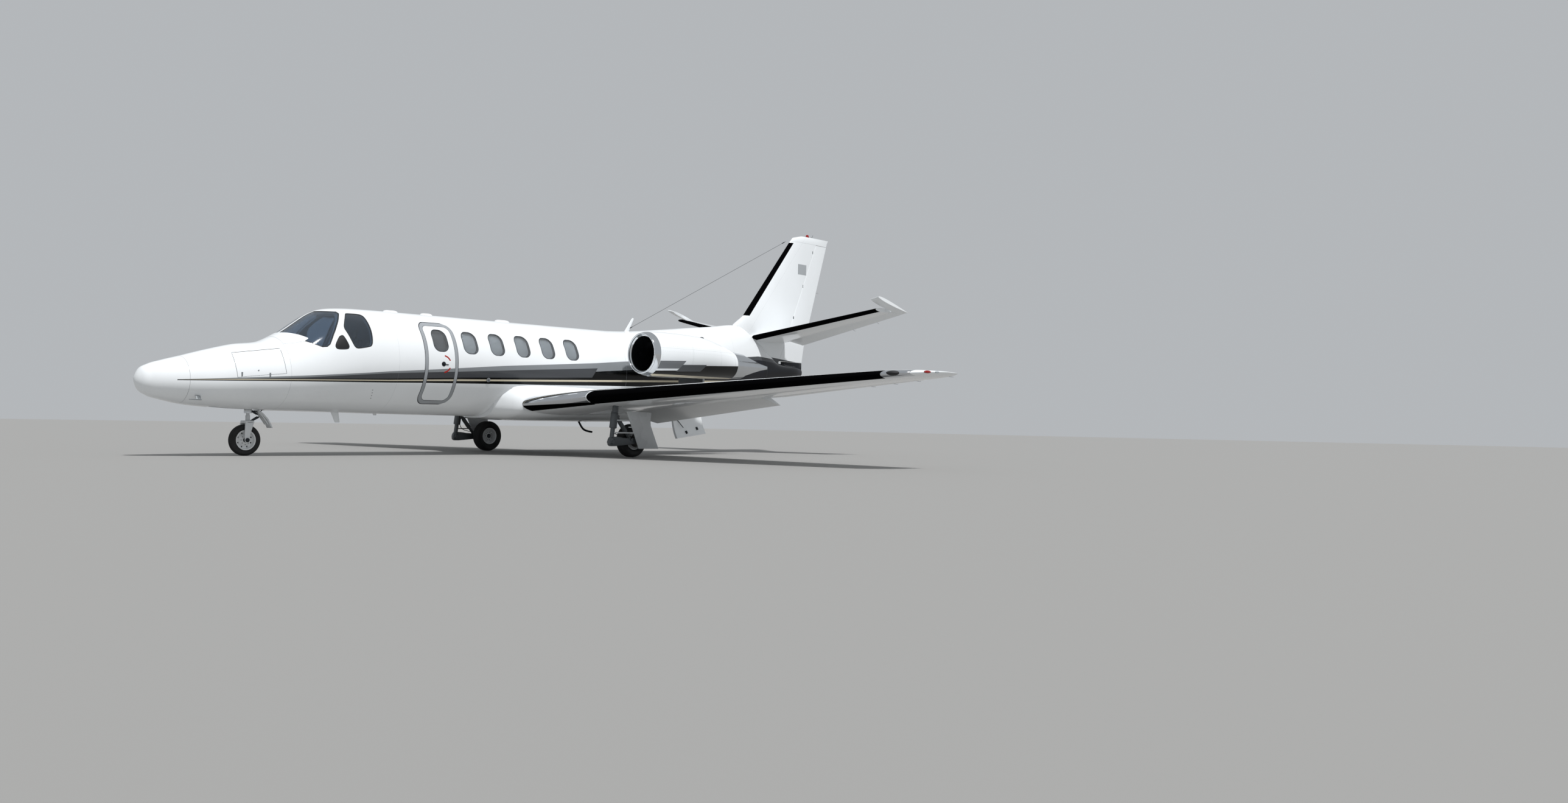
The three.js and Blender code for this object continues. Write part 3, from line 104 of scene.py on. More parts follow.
# Stripe edges on the fuselage sides: station, height
BAND_TOP = [
    (0.42, 1.04), (0.693, 1.058), (1.22, 1.094), (2.04, 1.15), (2.95, 1.226), (3.34, 1.265),
    (3.96, 1.314), (4.61, 1.371), (5.41, 1.441), (6.27, 1.5), (7.32, 1.575), (7.94, 1.631),
    (9.5, 1.74), (11.92, 1.9), (13.58, 1.95),
]
BAND_DIVISION = [
    (0.42, 1.04), (1.22, 1.075), (2.04, 1.124), (3.34, 1.238), (4.61, 1.315), (6.27, 1.42),
    (7.31, 1.484), (9.5, 1.65), (11.92, 1.86), (13.58, 1.775),
]
LINE_TOP = [
    (0.42, 1.04), (1.22, 1.073), (2.04, 1.099), (3.37, 1.14), (4.63, 1.196), (6.29, 1.249),
    (7.6, 1.293), (13.58, 1.5),
]
LINE_BOTTOM = [
    (0.42, 1.04), (1.22, 1.061), (2.04, 1.086), (3.37, 1.122), (4.64, 1.168), (6.29, 1.219),
    (7.6, 1.261), (13.58, 1.46),
]
BAND_BOTTOM = [
    (0.397, 1.028), (1.22, 1.048), (2.05, 1.069), (3.38, 1.099), (4.0, 1.117), (4.65, 1.131),
    (5.69, 1.153), (6.31, 1.164), (7.62, 1.194), (13.58, 1.3),
]

# Wing, tail plane and pylon rows: across, the leading edge's station and height, the trailing edge's,
# thickness over chord
# Fin rows: height, stations of the leading and trailing edge, thickness over chord
# Pod and duct rows: station, radius, height of the axis
# Fairing rows: station, half width, bottom, side's low and high edge, top's half width, top
# Flap, aileron and elevator: ends across, the hinge's share of the chord, angles in degrees
# Rudder: heights of its ends, the hinge's station at each, travel in degrees
WING = [
    (0.9, 5.68, 0.838, 8.6, 0.752, 0.118), (1.91, 6.127, 0.962, 8.462, 0.827, 0.135),
    (7.45, 6.554, 1.272, 7.714, 1.247, 0.12), (7.7, 6.64, 1.287, 7.704, 1.269, 0.105),
    (7.86, 6.82, 1.304, 7.695, 1.29, 0.085), (7.93, 7.13, 1.322, 7.688, 1.308, 0.06),
    (7.95, 7.44, 1.332, 7.68, 1.322, 0.04),
]
WING_CAMBER = 0.012
WING_KINK = 1.91
FLAP = {"inner": 0.965, "outer": 4.29, "hinge": 0.74, "below": -0.014, "rest": 15}
AILERON = {"inner": 4.36, "outer": 7.4, "hinge": 0.76, "travel": 19}
STABILISER = [(0.02, 11.83, 2.3, 13.32, 2.3, 0.1), (2.74, 12.575, 2.826, 13.308, 2.812, 0.1)]
ELEVATOR = {"inner": 0.25, "outer": 2.74, "hinge": 0.7, "droop": 15, "travel": 35}
HORN = {"inner": 2.765, "outer": 2.95, "nose": 12.4, "thick": 0.07}
FIN = [
    (1.7, 11.25, 13.55, 0.085), (2.22, 11.35, 13.64, 0.09), (2.56, 11.48, 13.746, 0.1),
    (2.75, 11.76, 13.805, 0.1), (4.4, 13.135, 14.32, 0.1), (4.5, 13.23, 14.352, 0.095),
    (4.56, 13.48, 14.39, 0.07),
]
RUDDER = {"bottom": 1.888, "top": 4.412, "low": 12.83, "high": 13.965, "travel": 22}
GAP = 0.008
END_GAP = 0.012
DOOR_GAP = 0.0055
HATCH_GAP = 0.006
ENGINE_ACROSS = 1.3
FAN_BLADES = 22
POD_SIDES = 64
POD = [
    (7.87, 0.33, 1.762), (7.89, 0.356, 1.762), (8.0, 0.382, 1.76), (8.4, 0.396, 1.756),
    (9.13, 0.378, 1.75), (9.6, 0.332, 1.714), (10.02, 0.258, 1.654),
]
DUCT = [
    (7.86, 0.322, 1.762), (7.9, 0.301, 1.762), (8.2, 0.287, 1.756), (8.61, 0.287, 1.755),
]
REVERSER_WALL = 0.012
PYLON = [(0.48, 8.33, 1.73, 10.15, 1.712, 0.085), (1.25, 8.43, 1.745, 9.8, 1.725, 0.085)]
FAIRING = [
    (5.38, 0.56, 0.6, 0.79, 0.9, 0.6, 0.96), (5.69, 0.8997, 0.578, 0.735, 0.93, 0.72, 1.14),
    (6.2, 0.8997, 0.565, 0.7, 1.04, 0.735, 1.165), (7.2, 0.8997, 0.565, 0.69, 1.02, 0.735, 1.14),
    (8.1, 0.8997, 0.57, 0.715, 0.9, 0.7, 1.02), (8.65, 0.88, 0.59, 0.745, 0.8, 0.64, 0.9),
    (9.25, 0.42, 0.655, 0.79, 0.85, 0.5, 0.9),
]

# Baggage doors: ends of the hinge line, and how far the door reaches from it
NOSE_DOOR = {"front": (0.318, 1.15, 1.452), "rear": (0.46, 1.78, 1.544), "reach": 0.42}
AFT_DOOR = {"front": (0.512, 9.37, 0.896), "rear": (0.448, 10.13, 0.985), "reach": 0.62, "open": 158}
NOSE_LEG = 1.565
NOSE_AXLE = (1.525, 0.222)
MAIN_AXLE = (7.07, 0.272)
MAIN_LEG = 2.15


def at(across, station, height):
    return Vector((across, station - MID, height))


# Camera, fitted to points of the photo with remembered dimensions as inputs

CAMERA = {
    "place": (18.0013, -14.3965, 0.5842), "yaw": 0.8442, "pitch": 0.0175, "roll": 0.0181, "lens": 29.844,
}


def place_camera():
    yaw, pitch, roll = CAMERA["yaw"], CAMERA["pitch"], CAMERA["roll"]
    forward = Vector((-math.cos(yaw) * math.cos(pitch), math.sin(yaw) * math.cos(pitch), math.sin(pitch)))
    right = Vector((math.sin(yaw), math.cos(yaw), 0))
    up = right.cross(forward)
    side = math.cos(roll) * right + math.sin(roll) * up
    top = math.cos(roll) * up - math.sin(roll) * right
    data = bpy.data.cameras.new("camera")
    data.sensor_width = 36
    data.lens = CAMERA["lens"]
    data.clip_end = 200
    camera = bpy.data.objects.new("camera", data)
    bpy.context.collection.objects.link(camera)
    turn = Matrix((side, top, -forward)).transposed().to_4x4()
    camera.matrix_world = Matrix.Translation(CAMERA["place"]) @ turn
    bpy.context.scene.camera = camera


place_camera()


# Numbers

def slopes_of(table, column):
    """Slopes at a table's rows that keep a smooth curve from running past them."""
    steps = [(b[column] - a[column]) / (b[0] - a[0]) for a, b in zip(table, table[1:])]
    inner = []
    for (a, b), (left, mid, right) in zip(zip(steps, steps[1:]), zip(table, table[1:], table[2:])):
        before, after = mid[0] - left[0], right[0] - mid[0]
        mean = (a * after + b * before) / (before + after)
        limit = 2 * min(abs(a), abs(b))
        inner.append(0 if a * b <= 0 else math.copysign(min(abs(mean), limit), mean))
    return [steps[0]] + inner + [steps[-1]]


def smooth_row(table, key):
    """The table's row at a key, on a smooth curve through its rows."""
    key = min(max(key, table[0][0]), table[-1][0])
    index = next(i for i in range(1, len(table)) if table[i][0] >= key)
    low, high = table[index - 1], table[index]
    span = high[0] - low[0]
    t = (key - low[0]) / span
    row = [key]
    for column in range(1, len(low)):
        slopes = slopes_of(table, column)
        a, b = slopes[index - 1] * span, slopes[index] * span
        value = ((2 * t ** 3 - 3 * t ** 2 + 1) * low[column] + (t ** 3 - 2 * t ** 2 + t) * a
                 + (3 * t ** 2 - 2 * t ** 3) * high[column] + (t ** 3 - t ** 2) * b)
        row.append(value)
    return row


def straight_row(table, key):
    index = next((i for i in range(1, len(table)) if table[i][0] >= key), len(table) - 1)
    low, high = table[index - 1], table[index]
    share = (key - low[0]) / (high[0] - low[0])
    return [key] + [a + (b - a) * share for a, b in zip(low[1:], high[1:])]


def stations(start, end, step, keys=()):
    count = max(1, math.ceil((end - start) / step))
    even = [start + (end - start) * i / count for i in range(count + 1)]
    extra = [k for k in keys if start < k < end and min(abs(k - e) for e in even) > step / 4]
    return sorted(even + extra)


# Meshes

def only(obj):
    bpy.ops.object.select_all(action="DESELECT")
    obj.select_set(True)
    bpy.context.view_layer.objects.active = obj


def mesh_object(name, points, faces):
    mesh = bpy.data.meshes.new(name)
    mesh.from_pydata([tuple(p) for p in points], [], faces)
    obj = bpy.data.objects.new(name, mesh)
    bpy.context.collection.objects.link(obj)
    work = bmesh.new()
    work.from_mesh(mesh)
    bmesh.ops.remove_doubles(work, verts=work.verts, dist=1e-6)
    bmesh.ops.recalc_face_normals(work, faces=work.faces)
    work.to_mesh(mesh)
    work.free()
    return obj


def ring_faces(rings, first=0):
    count = len(rings[0])
    faces = []
    for r in range(len(rings) - 1):
        for i in range(count):
            j = (i + 1) % count
            a, b = first + r * count, first + (r + 1) * count
            faces.append((a + i, a + j, b + j, b + i))
    faces.append(tuple(first + i for i in reversed(range(count))))
    faces.append(tuple(first + (len(rings) - 1) * count + i for i in range(count)))
    return faces


def loft(name, rings):
    return mesh_object(name, [p for ring in rings for p in ring], ring_faces(rings))


def hollow(name, outside, inside):
    """A closed form with a closed hollow inside it."""
    form = loft(name, outside)
    core = loft(name + "_core", inside)
    for polygon in core.data.polygons:
        polygon.flip()
    return joined(name, [form, core])


def joined(name, objects):
    bpy.ops.object.select_all(action="DESELECT")
    for obj in objects:
        obj.select_set(True)
    bpy.context.view_layer.objects.active = objects[0]
    if len(objects) > 1:
        bpy.ops.object.join()
    objects[0].name = name
    return objects[0]


def modify(obj, kind, **settings):
    only(obj)
    made = obj.modifiers.new(kind.lower(), kind)
    for key, value in settings.items():
        setattr(made, key, value)
    bpy.ops.object.modifier_apply(modifier=made.name)
    return obj


def carve(obj, tools, how="DIFFERENCE"):
    """Cuts an object with a tool, or a list of them, which is used up."""
    tool = joined("tool", tools) if isinstance(tools, list) else tools
    modify(obj, "BOOLEAN", operation=how, object=tool, solver="EXACT")
    bpy.data.objects.remove(tool)
    return obj


def copied(obj, name):
    other = obj.copy()
    other.data = obj.data.copy()
    other.name = name
    bpy.context.collection.objects.link(other)
    return other


def moved(obj, how):
    """Moves a mesh's own points by a matrix, so that the object stays at the origin."""
    for vertex in obj.data.vertices:
        vertex.co = how @ vertex.co
    return obj


def mirrored(obj, name):
    other = moved(copied(obj, name), Matrix.Scale(-1, 4, ACROSS))
    other.data.flip_normals()
    return other


def turn_about(point, axis, degrees):
    turn = Matrix.Rotation(math.radians(degrees), 4, axis)
    return Matrix.Translation(point) @ turn @ Matrix.Translation(-point)


def prism(name, outline, low, high):
    """An outline of (station, height) points drawn out across the aircraft."""
    return loft(name, [[at(across, s, h) for s, h in outline] for across in (low, high)])


def box_piece(name, low, high, edge=0.0, segments=3):
    bpy.ops.object.select_all(action="DESELECT")
    bpy.ops.mesh.primitive_cube_add(size=1)
    obj = bpy.context.object
    obj.name = name
    for vertex in obj.data.vertices:
        vertex.co = Vector(tuple(l + (v + 0.5) * (h - l) for v, l, h in zip(vertex.co, low, high)))
    if edge:
        modify(obj, "BEVEL", width=edge, segments=segments)
    return obj


def turned(name, profile, start, direction, sides=48):
    """A profile of (radius, distance) points turned about a line."""
    upright = Vector(UP).rotation_difference(Vector(direction).normalized())
    angles = [2 * math.pi * (i + 0.5) / sides for i in range(sides)]
    return loft(name, [[
        start + upright @ Vector((max(radius, 1e-5) * math.cos(a), max(radius, 1e-5) * math.sin(a), distance))
        for a in angles] for radius, distance in profile])


def rod(name, start, end, radius, sides=16, top=None):
    length = (end - start).length
    return turned(name, [(radius, 0), (radius if top is None else top, length)], start, end - start, sides)


def tube(name, points, radius, sides=10):
    """A smooth tube through points."""
    data = bpy.data.curves.new(name, "CURVE")
    data.dimensions = "3D"
    data.bevel_depth = radius
    data.bevel_resolution = sides // 4
    data.use_fill_caps = True
    spline = data.splines.new("NURBS")
    spline.points.add(len(points) - 1)
    for point, place in zip(spline.points, points):
        point.co = (*place, 1)
    spline.order_u = min(4, len(points))
    spline.use_endpoint_u = True
    obj = bpy.data.objects.new(name, data)
    bpy.context.collection.objects.link(obj)
    only(obj)
    bpy.ops.object.convert(target="MESH")
    return bpy.context.object


def finish_piece(obj, body, material, nodes=(), degrees=35):
    only(obj)
    bpy.ops.object.shade_smooth_by_angle(angle=math.radians(degrees))
    obj.data.materials.clear()
    obj.data.materials.append(material)
    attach(obj, body)
    if nodes:
        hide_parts(*nodes)
    return obj


# Materials

WHITE = "#eef1f3"
BAND_GREY = "#46484b"
BAND_PALE = "#85898c"
BLACK = "#050607"
FOOT_BLACK = "#0b0d14"
BOOT_BLACK = "#060607"
BEIGE = "#cfc6b0"
NAVY = "#060915"
SEAM_GREY = "#8d9194"
RIM_GREY = "#3b3e42"
BOOT_SHEEN = 0.3


def hex_colour(code):
    """An sRGB hex colour as linear values."""
    parts = [int(code[i:i + 2], 16) / 255 for i in (1, 3, 5)]
    return tuple(c / 12.92 if c <= 0.04045 else ((c + 0.055) / 1.055) ** 2.4 for c in parts) + (1,)


def link(value, socket):
    socket.id_data.links.new(getattr(value, "socket", value), socket)


def add(tree, kind, settings=None, inputs=None):
    """Adds one shader node; inputs holds numbers and colours, or values and sockets to link."""
    made = tree.nodes.new("ShaderNode" + kind)
    for name, value in (settings or {}).items():
        setattr(made, name, value)
    for key, value in (inputs or {}).items():
        if isinstance(value, (Value, bpy.types.NodeSocket)):
            link(value, made.inputs[key])
        else:
            made.inputs[key].default_value = value
    return made


class Value:
    """A number worked out in a shader. A comparison gives a mask of 1 and 0; & | ~ join masks."""

    def __init__(self, tree, socket):
        self.tree, self.socket = tree, socket

    def work(self, operation, *others):
        return work_out(self.tree, operation, self, *others)

    def __add__(self, other):
        return self.work("ADD", other)

    def __sub__(self, other):
        return self.work("SUBTRACT", other)

    def __rsub__(self, other):
        return work_out(self.tree, "SUBTRACT", other, self)

    def __mul__(self, other):
        return self.work("MULTIPLY", other)

    def __gt__(self, other):
        return self.work("GREATER_THAN", other)

    def __lt__(self, other):
        return self.work("LESS_THAN", other)

    def __or__(self, other):
        return self.work("MAXIMUM", other)

    def __invert__(self):
        return 1.0 - self

    def __abs__(self):
        return self.work("ABSOLUTE")

    __radd__ = __add__
    __and__ = __mul__


def work_out(tree, operation, *values):
    made = add(tree, "Math", {"operation": operation}, dict(enumerate(values)))
    return Value(tree, made.outputs[0])


def new_material(name):
    material = bpy.data.materials.new(name)
    material.use_nodes = True
    tree = material.node_tree
    return material, tree, tree.nodes["Principled BSDF"]


def coordinates(tree, turned=None):
    """Object coordinates, whole and as three values in metres.

    turned holds a centre, an axis and the degrees to turn them by.
    """
    source = add(tree, "TexCoord").outputs["Object"]
    if turned:
        centre, axis, degrees = turned
        source = add(tree, "VectorRotate", None, {
            "Vector": source, "Center": centre, "Axis": axis, "Angle": math.radians(degrees)}).outputs[0]
    split = add(tree, "SeparateXYZ", None, {0: source})
    return source, *(Value(tree, output) for output in split.outputs)


def painted(colour, *coats):
    """Lays coats over a colour, each where its mask is 1."""
    if isinstance(colour, str):
        colour = hex_colour(colour)
    for mask, coat in coats:
        mix = add(mask.tree, "Mix", {"data_type": "RGBA"}, {0: mask, 6: colour, 7: hex_colour(coat)})
        colour = mix.outputs[2]
    return colour


def graph(key, table, longest=15.0, highest=5.0):
    """A value over a key from a table of points, straight between them."""
    curve = add(key.tree, "FloatCurve", None, {"Value": key.work("DIVIDE", longest)})
    line = curve.mapping.curves[0]
    line.points[0].location = (0, table[0][1] / highest)
    line.points[1].location = (1, table[-1][1] / highest)
    for place, value in table:
        line.points.new(place / longest, value / highest)
    for point in line.points:
        point.handle_type = "VECTOR"
    curve.mapping.update()
    return Value(key.tree, curve.outputs[0]) * highest


def between(value, low, high):
    return (value > low) & (value < high)


def either(masks):
    first, *others = masks
    for mask in others:
        first = first | mask
    return first


def line_at(value, where, half):
    return abs(value - where) < half


def lines_at(value, *lines):
    """Thin lines across a value, each with its place and half width."""
    return either([line_at(value, *line) for line in lines])


def length_of(u, v):
    return (u.work("POWER", 2.0) + v.work("POWER", 2.0)).work("SQRT")


def round_box(u, v, left, right, low, high, corner):
    """Distance from a rectangle with round corners, below zero inside it."""
    du = abs(u - (left + right) / 2) - ((right - left) / 2 - corner)
    dv = abs(v - (low + high) / 2) - ((high - low) / 2 - corner)
    outer = length_of(du.work("MAXIMUM", 0.0), dv.work("MAXIMUM", 0.0))
    inner = du.work("MAXIMUM", dv).work("MINIMUM", 0.0)
    return outer + inner - corner


def rivet_rows(u, v, rows, pitch=0.04, size=0.0022):
    """Flush rivet heads along rows of constant v, one each pitch along u.

    A real head is about 5 mm across; the cowl's are drawn 6 and 8 mm across so that they show.
    """
    cell = u.work("WRAP", pitch, 0.0) - pitch / 2
    return either([length_of(cell, v - row) < size for row in rows])


def surface_wear(shader, source, colour, bump=0.02, mottle=0.04, scale=6.0, rough=(0.1, 0.22)):
    """Faint colour variation, uneven gloss and a fine waviness in the surface.

    The fine waves are about 83 / scale mm long: 14 on the paint, 3 in leather and 1.4 in carpet. Real
    orange peel and grain are 1 to 3 mm, too fine to show on a whole aircraft, so the paint's is coarser.
    """
    tree = shader.id_data
    broad = add(tree, "TexNoise", None, {"Vector": source, "Scale": scale / 4, "Detail": 6.0})
    fine = add(tree, "TexNoise", None, {"Vector": source, "Scale": scale * 12, "Detail": 3.0})

    def spread_over(low, high):
        ends = {"Value": broad.outputs[0], "From Min": 0.3, "From Max": 0.7, "To Min": low, "To Max": high}
        return add(tree, "MapRange", None, ends).outputs[0]

    toned = add(tree, "HueSaturation", None, {"Value": spread_over(1 - mottle, 1.0), "Color": colour})
    relief = add(tree, "Bump", None, {"Height": fine.outputs[0], "Strength": bump, "Distance": 0.01})
    link(toned.outputs[0], shader.inputs["Base Color"])
    link(spread_over(*rough), shader.inputs["Roughness"])
    link(relief.outputs[0], shader.inputs["Normal"])


def booted_wear(shader, source, colour, boot, rough):
    """Wear on paint with rubber boots: where the mask is rubber the coat is gone and the face is duller."""
    for name in ("Coat Weight", "Specular IOR Level"):
        link(~boot * BOOT_SHEEN, shader.inputs[name])
    surface_wear(shader, source, colour)
    link(boot * 0.3 + rough, shader.inputs["Roughness"])


def enamel_gloss(shader):
    """A thin clear coat; its sheen is held low so that the dark bands stay deep under a pale studio sky."""
    for name, value in (("Coat Weight", 0.12), ("Coat Roughness", 0.04), ("Specular IOR Level", 0.22)):
        shader.inputs[name].default_value = value


def plain_paint(name, code=WHITE):
    """Polyurethane topcoat, sprayed: a clear deep gloss with a little orange peel."""
    material, tree, shader = new_material(name)
    enamel_gloss(shader)
    surface_wear(shader, coordinates(tree)[0], hex_colour(code), rough=(0.1, 0.2))
    return material


def body_paint(name, door=False, turned=None):
    """The topcoat with the body's bands, seams and window rims, and a door's bare metal edge."""
    material, tree, shader = new_material(name)
    source, x, y, z = coordinates(tree, turned)
    station = y + MID
    band_top, division, line_top, line_bottom, bottom = (
        graph(station, table) for table in (BAND_TOP, BAND_DIVISION, LINE_TOP, LINE_BOTTOM, BAND_BOTTOM))
    started, stopped = station > 0.42, station < 11.5
    lean = station + (z - 1.4) * 0.9
    upper = started & between(z, line_top, band_top) & (lean < 9.5)
    middle_ends = station - (z - 1.485) * 0.73 < 7.338
    keyline = line_top + ((station - 0.4) * 0.006).work("MAXIMUM", 0.0)
    middle = upper & (z > keyline) & middle_ends
    pale = upper & (z > division - ~middle_ends * 0.055)
    thin = started & between(z, line_bottom, line_top) & stopped
    black = started & between(z, bottom, line_bottom) & stopped
    tail_low = (station - (1.65 - z) * 1.2 > 9.6) & (z < division)
    tail_band = (station > 11.3) & between(z, division, division + 0.075) & (lean < 13.3)
    seams = lines_at(station, (RADOME_SEAM, 0.0025), (COCKPIT_FRAME, 0.001), (3.5, 0.001),
                     (TAIL_FRAME, 0.0015), (9.2, 0.001), (11.1, 0.001), (12.2, 0.001))
    cell = station.work("WRAP", WINDOW_FIRST + WINDOW_PITCH / 2, WINDOW_FIRST - WINDOW_PITCH / 2)
    rim = round_box(cell, z, WINDOW_FIRST - WINDOW_WIDTH / 2, WINDOW_FIRST + WINDOW_WIDTH / 2,
                    WINDOW_BOTTOM, WINDOW_TOP, WINDOW_CORNER)
    rims = (rim < 0.011) & (station > (x > 0.0) * 0.5 + 4.04) & (station < 7.1)
    colour = painted(WHITE, (upper, BLACK), (middle, BAND_GREY), (pale, BAND_PALE), (tail_low, NAVY),
                     (tail_band, BAND_GREY), (black, BLACK), (thin, BEIGE), (seams * 0.55, SEAM_GREY),
                     (rims, RIM_GREY))
    if door:
        edge = round_box(station, z, *(DOOR[key] for key in ("front", "rear", "bottom", "top", "corner")))
        glass = round_box(station, z, *DOOR_GLASS.values(), WINDOW_CORNER)
        along, above = station - HANDLE[0], z - HANDLE[1]
        arcs = between(length_of(along, above), 0.117, 0.14) & (along > 0.02) & (abs(above) > 0.055)
        colour = painted(colour, (edge > -0.056, "#9da1a5"),
                         (line_at(edge, -0.056, 0.003) | (edge > -0.004), "#43474b"),
                         (glass < 0.01, RIM_GREY), (arcs, "#a8241c"))
    enamel_gloss(shader)
    surface_wear(shader, source, colour)
    return material


def wing_paint(name):
    """White topcoat, with the bare polished cuff inboard and black rubber boots along the leading edge."""
    material, tree, shader = new_material(name)
    source, x, y, z = coordinates(tree)
    away = abs(x)
    behind = y - (graph(away, [row[:2] for row in WING], 8.0, 15.0) - MID)
    high = z - ((away - 0.9) * 0.0665 + 0.838)
    boot = between(away, 1.95, 7.47) & (behind < 0.19 - away * 0.009)
    cuff = (away < 1.93) & (behind < 0.28) & (high > -0.03)
    strip = (away < 1.95) & (behind < 0.2) & (high < -0.03)
    lens = between(away, 7.47, 7.81) & (behind < 0.15)
    seams = line_at(behind, 0.42, 0.0012) | lines_at(
        away, (1.94, 0.002), (7.47, 0.002), (3.1, 0.0012), (5.5, 0.0012), (7.81, 0.0015))
    rivets = rivet_rows(away, behind, [0.4, 0.44, 0.75, 0.79]) | rivet_rows(
        behind, away, [2.6, 3.08, 3.12, 4.3, 5.48, 5.52, 6.6])
    metal, rubber = cuff | lens, boot | strip
    colour = painted(WHITE, ((seams | rivets) * 0.4, SEAM_GREY), (metal, "#c9ccd0"), (rubber, BOOT_BLACK))
    link(metal, shader.inputs["Metallic"])
    booted_wear(shader, source, colour, rubber, 0.07)
    return material


def tail_paint(name):
    """The same finish on the tail plane: white with black rubber boots."""
    material, tree, shader = new_material(name)
    source, x, y, _ = coordinates(tree)
    away = abs(x)
    behind = y - (graph(away, [(0.0, 11.825), (2.74, 12.575)], 8.0, 15.0) - MID)
    boot = between(away, 0.16, 2.735) & (behind < 0.14)
    seams = line_at(behind, 0.3, 0.0012) | line_at(away, 2.68, 0.0015) | rivet_rows(away, behind, [0.32, 0.6])
    colour = painted(WHITE, (seams * 0.4, SEAM_GREY), (boot, BOOT_BLACK))
    booted_wear(shader, source, colour, boot, 0.1)
    return material


def fin_paint(name):
    """Fin and rudder: white, a black boot up the leading edge, a grey base and the cap's seam."""
    material, tree, shader = new_material(name)
    source, _, y, z = coordinates(tree)
    station = y + MID
    behind = station - ((z - 2.75) * 0.8333 + 11.76)
    boot = between(z, 2.76, 4.385) & (behind < 0.162 - z * 0.015)
    low = z < 2.796 - station * 0.0753 + 0.1
    band = low & (station + (z - 1.9) * 0.9 < 13.1)
    seams = (line_at(z, 4.42, 0.002) | (line_at(z, 2.62, 0.0015) & (station > 13.1))
             | line_at(behind, 0.34, 0.001))
    square = between(z, 3.740, 3.958) & between(station, 13.341, 13.628)
    hatches = either([line_at(station, s, 0.012) & line_at(z, h, 0.03)
                      for s, h in ((13.837, 4.249), (13.528, 3.504), (13.239, 2.821))])
    colour = painted(WHITE, (seams * 0.6, SEAM_GREY), (square, "#a9adb0"), (hatches, "#5a5e62"),
                     (low, FOOT_BLACK), (band, BAND_GREY), (boot, BOOT_BLACK))
    booted_wear(shader, source, colour, boot, 0.1)
    return material


def nacelle_paint(name):
    """White cowl with the grey and black bands, rivet rows and a bare chromed inlet lip; the intake duct's inside
    is painted near black as painted shade.
    """
    material, tree, shader = new_material(name)
    source, x, y, z = coordinates(tree)
    station = y + MID
    away = length_of(abs(x) - ENGINE_ACROSS, z - 1.757)
    # The duct's inside is painted near black: painted shade inside the intake
    duct = (away < 0.308) & between(station, 7.9, 9.0)
    lean = station - (z - 1.664) * 0.78
    level = z - (station - 8.0) * 0.04
    behind_lip = station > 7.99
    black_low = (level < 1.466) & behind_lip
    grey = between(level, 1.5, 1.634) & behind_lip & (lean < 8.59)
    dark = between(level, 1.45, 1.566) & between(lean, 8.59, 9.16)
    black = (level < 1.55) & (lean > 9.16)
    line = between(z, 1.376, 1.412) & behind_lip
    seams = lines_at(station, (8.75, 0.0015), (9.5, 0.0015), (9.93, 0.002)) | line_at(z, 1.86, 0.0015)
    rivets = (rivet_rows(station, z, [1.8, 1.89], 0.05, 0.004)
              | rivet_rows(z, station, [8.04, 8.73, 8.77, 9.48], 0.04, 0.003))
    lip = (station < 7.985) & ~duct
    # The duct's near-black coat (#101214) is painted shade inside the intake
    colour = painted(WHITE, ((seams | rivets) * 0.5, SEAM_GREY), (black_low, BLACK), (grey, "#777a7d"),
                     (dark, "#55585b"), (black, BLACK), (line, BEIGE), (duct, "#101214"), (lip, "#d4d7da"))
    link(lip, shader.inputs["Metallic"])
    enamel_gloss(shader)
    surface_wear(shader, source, colour, rough=(0.06, 0.14))
    return material


def plain_material(name, code, rough, bump, scale, metal=0.0, mottle=0.12):
    material, tree, shader = new_material(name)
    shader.inputs["Metallic"].default_value = metal
    surface_wear(shader, coordinates(tree)[0], hex_colour(code), bump, mottle, scale, rough)
    return material


def bare_metal(name, code, rough, scale=8.0):
    """Metal with no paint: a clear sheen with fine cloudy scuffs in it."""
    return plain_material(name, code, rough, 0.03, scale, 1.0)


def acrylic(name, tint, clear=0.95, rough=0.03):
    """Stretched acrylic: clear and hard, with a faint tint and polishing haze."""
    material, tree, shader = new_material(name)
    shader.inputs["Transmission Weight"].default_value = clear
    shader.inputs["IOR"].default_value = 1.49
    surface_wear(shader, coordinates(tree)[0], hex_colour(tint), 0.004, 0.06, 2.0, (rough, rough * 2))
    return material


def lamp_glass(name, code):
    """Moulded lamp glass over a bright reflector."""
    return acrylic(name, code, 0.5, 0.05)


BODY_PAINT = body_paint("body_topcoat")
DOOR_PAINT = body_paint("door_topcoat", True)
WHITE_PAINT = plain_paint("white_topcoat")
COCKPIT_GLASS = acrylic("cockpit_acrylic", "#9fb0c2")
CABIN_GLASS = acrylic("cabin_acrylic", "#eef2f5")
SATIN_ALUMINIUM = bare_metal("satin_aluminium", "#a9adb0", (0.25, 0.4))
DARK_STEEL = bare_metal("dark_steel", "#33363a", (0.35, 0.5))
# Vulcanised rubber: near black and dull, greyed a little by dust
RUBBER = plain_material("moulded_rubber", "#141516", (0.6, 0.85), 0.15, 10.0)
# Moulded polycarbonate with a fine texture that keeps reflections out of the pilots' eyes
PLASTIC = plain_material("texture_moulded_plastic", "#1b1c1f", (0.6, 0.75), 0.2, 40.0)
# Smooth, near-black opaque pane in the small cockpit window: painted shade standing for the dark cockpit behind
# the glass, so it shows nothing behind it and has little gloss
VENT_PANE_PAINTED_SHADE = plain_material("black_vent_plastic", "#040405", (0.3, 0.45), 0.02, 12.0)
# Ribbed polycarbonate blinds, moulded in a pale grey with a soft satin face
BLIND_PLASTIC = plain_material("moulded_blind_plastic", "#c6cacd", (0.55, 0.7), 0.1, 40.0)
# Wool carpet: a deep soft nap that takes no shine
CARPET = plain_material("wool_carpet", "#6b655c", (0.9, 1.0), 0.6, 60.0, mottle=0.3)
# Chrome tanned leather: a fine grain with a low sheen, smoother where it is sat on
LEATHER = plain_material("cream_leather", "#b7a78b", (0.4, 0.6), 0.25, 30.0, mottle=0.18)
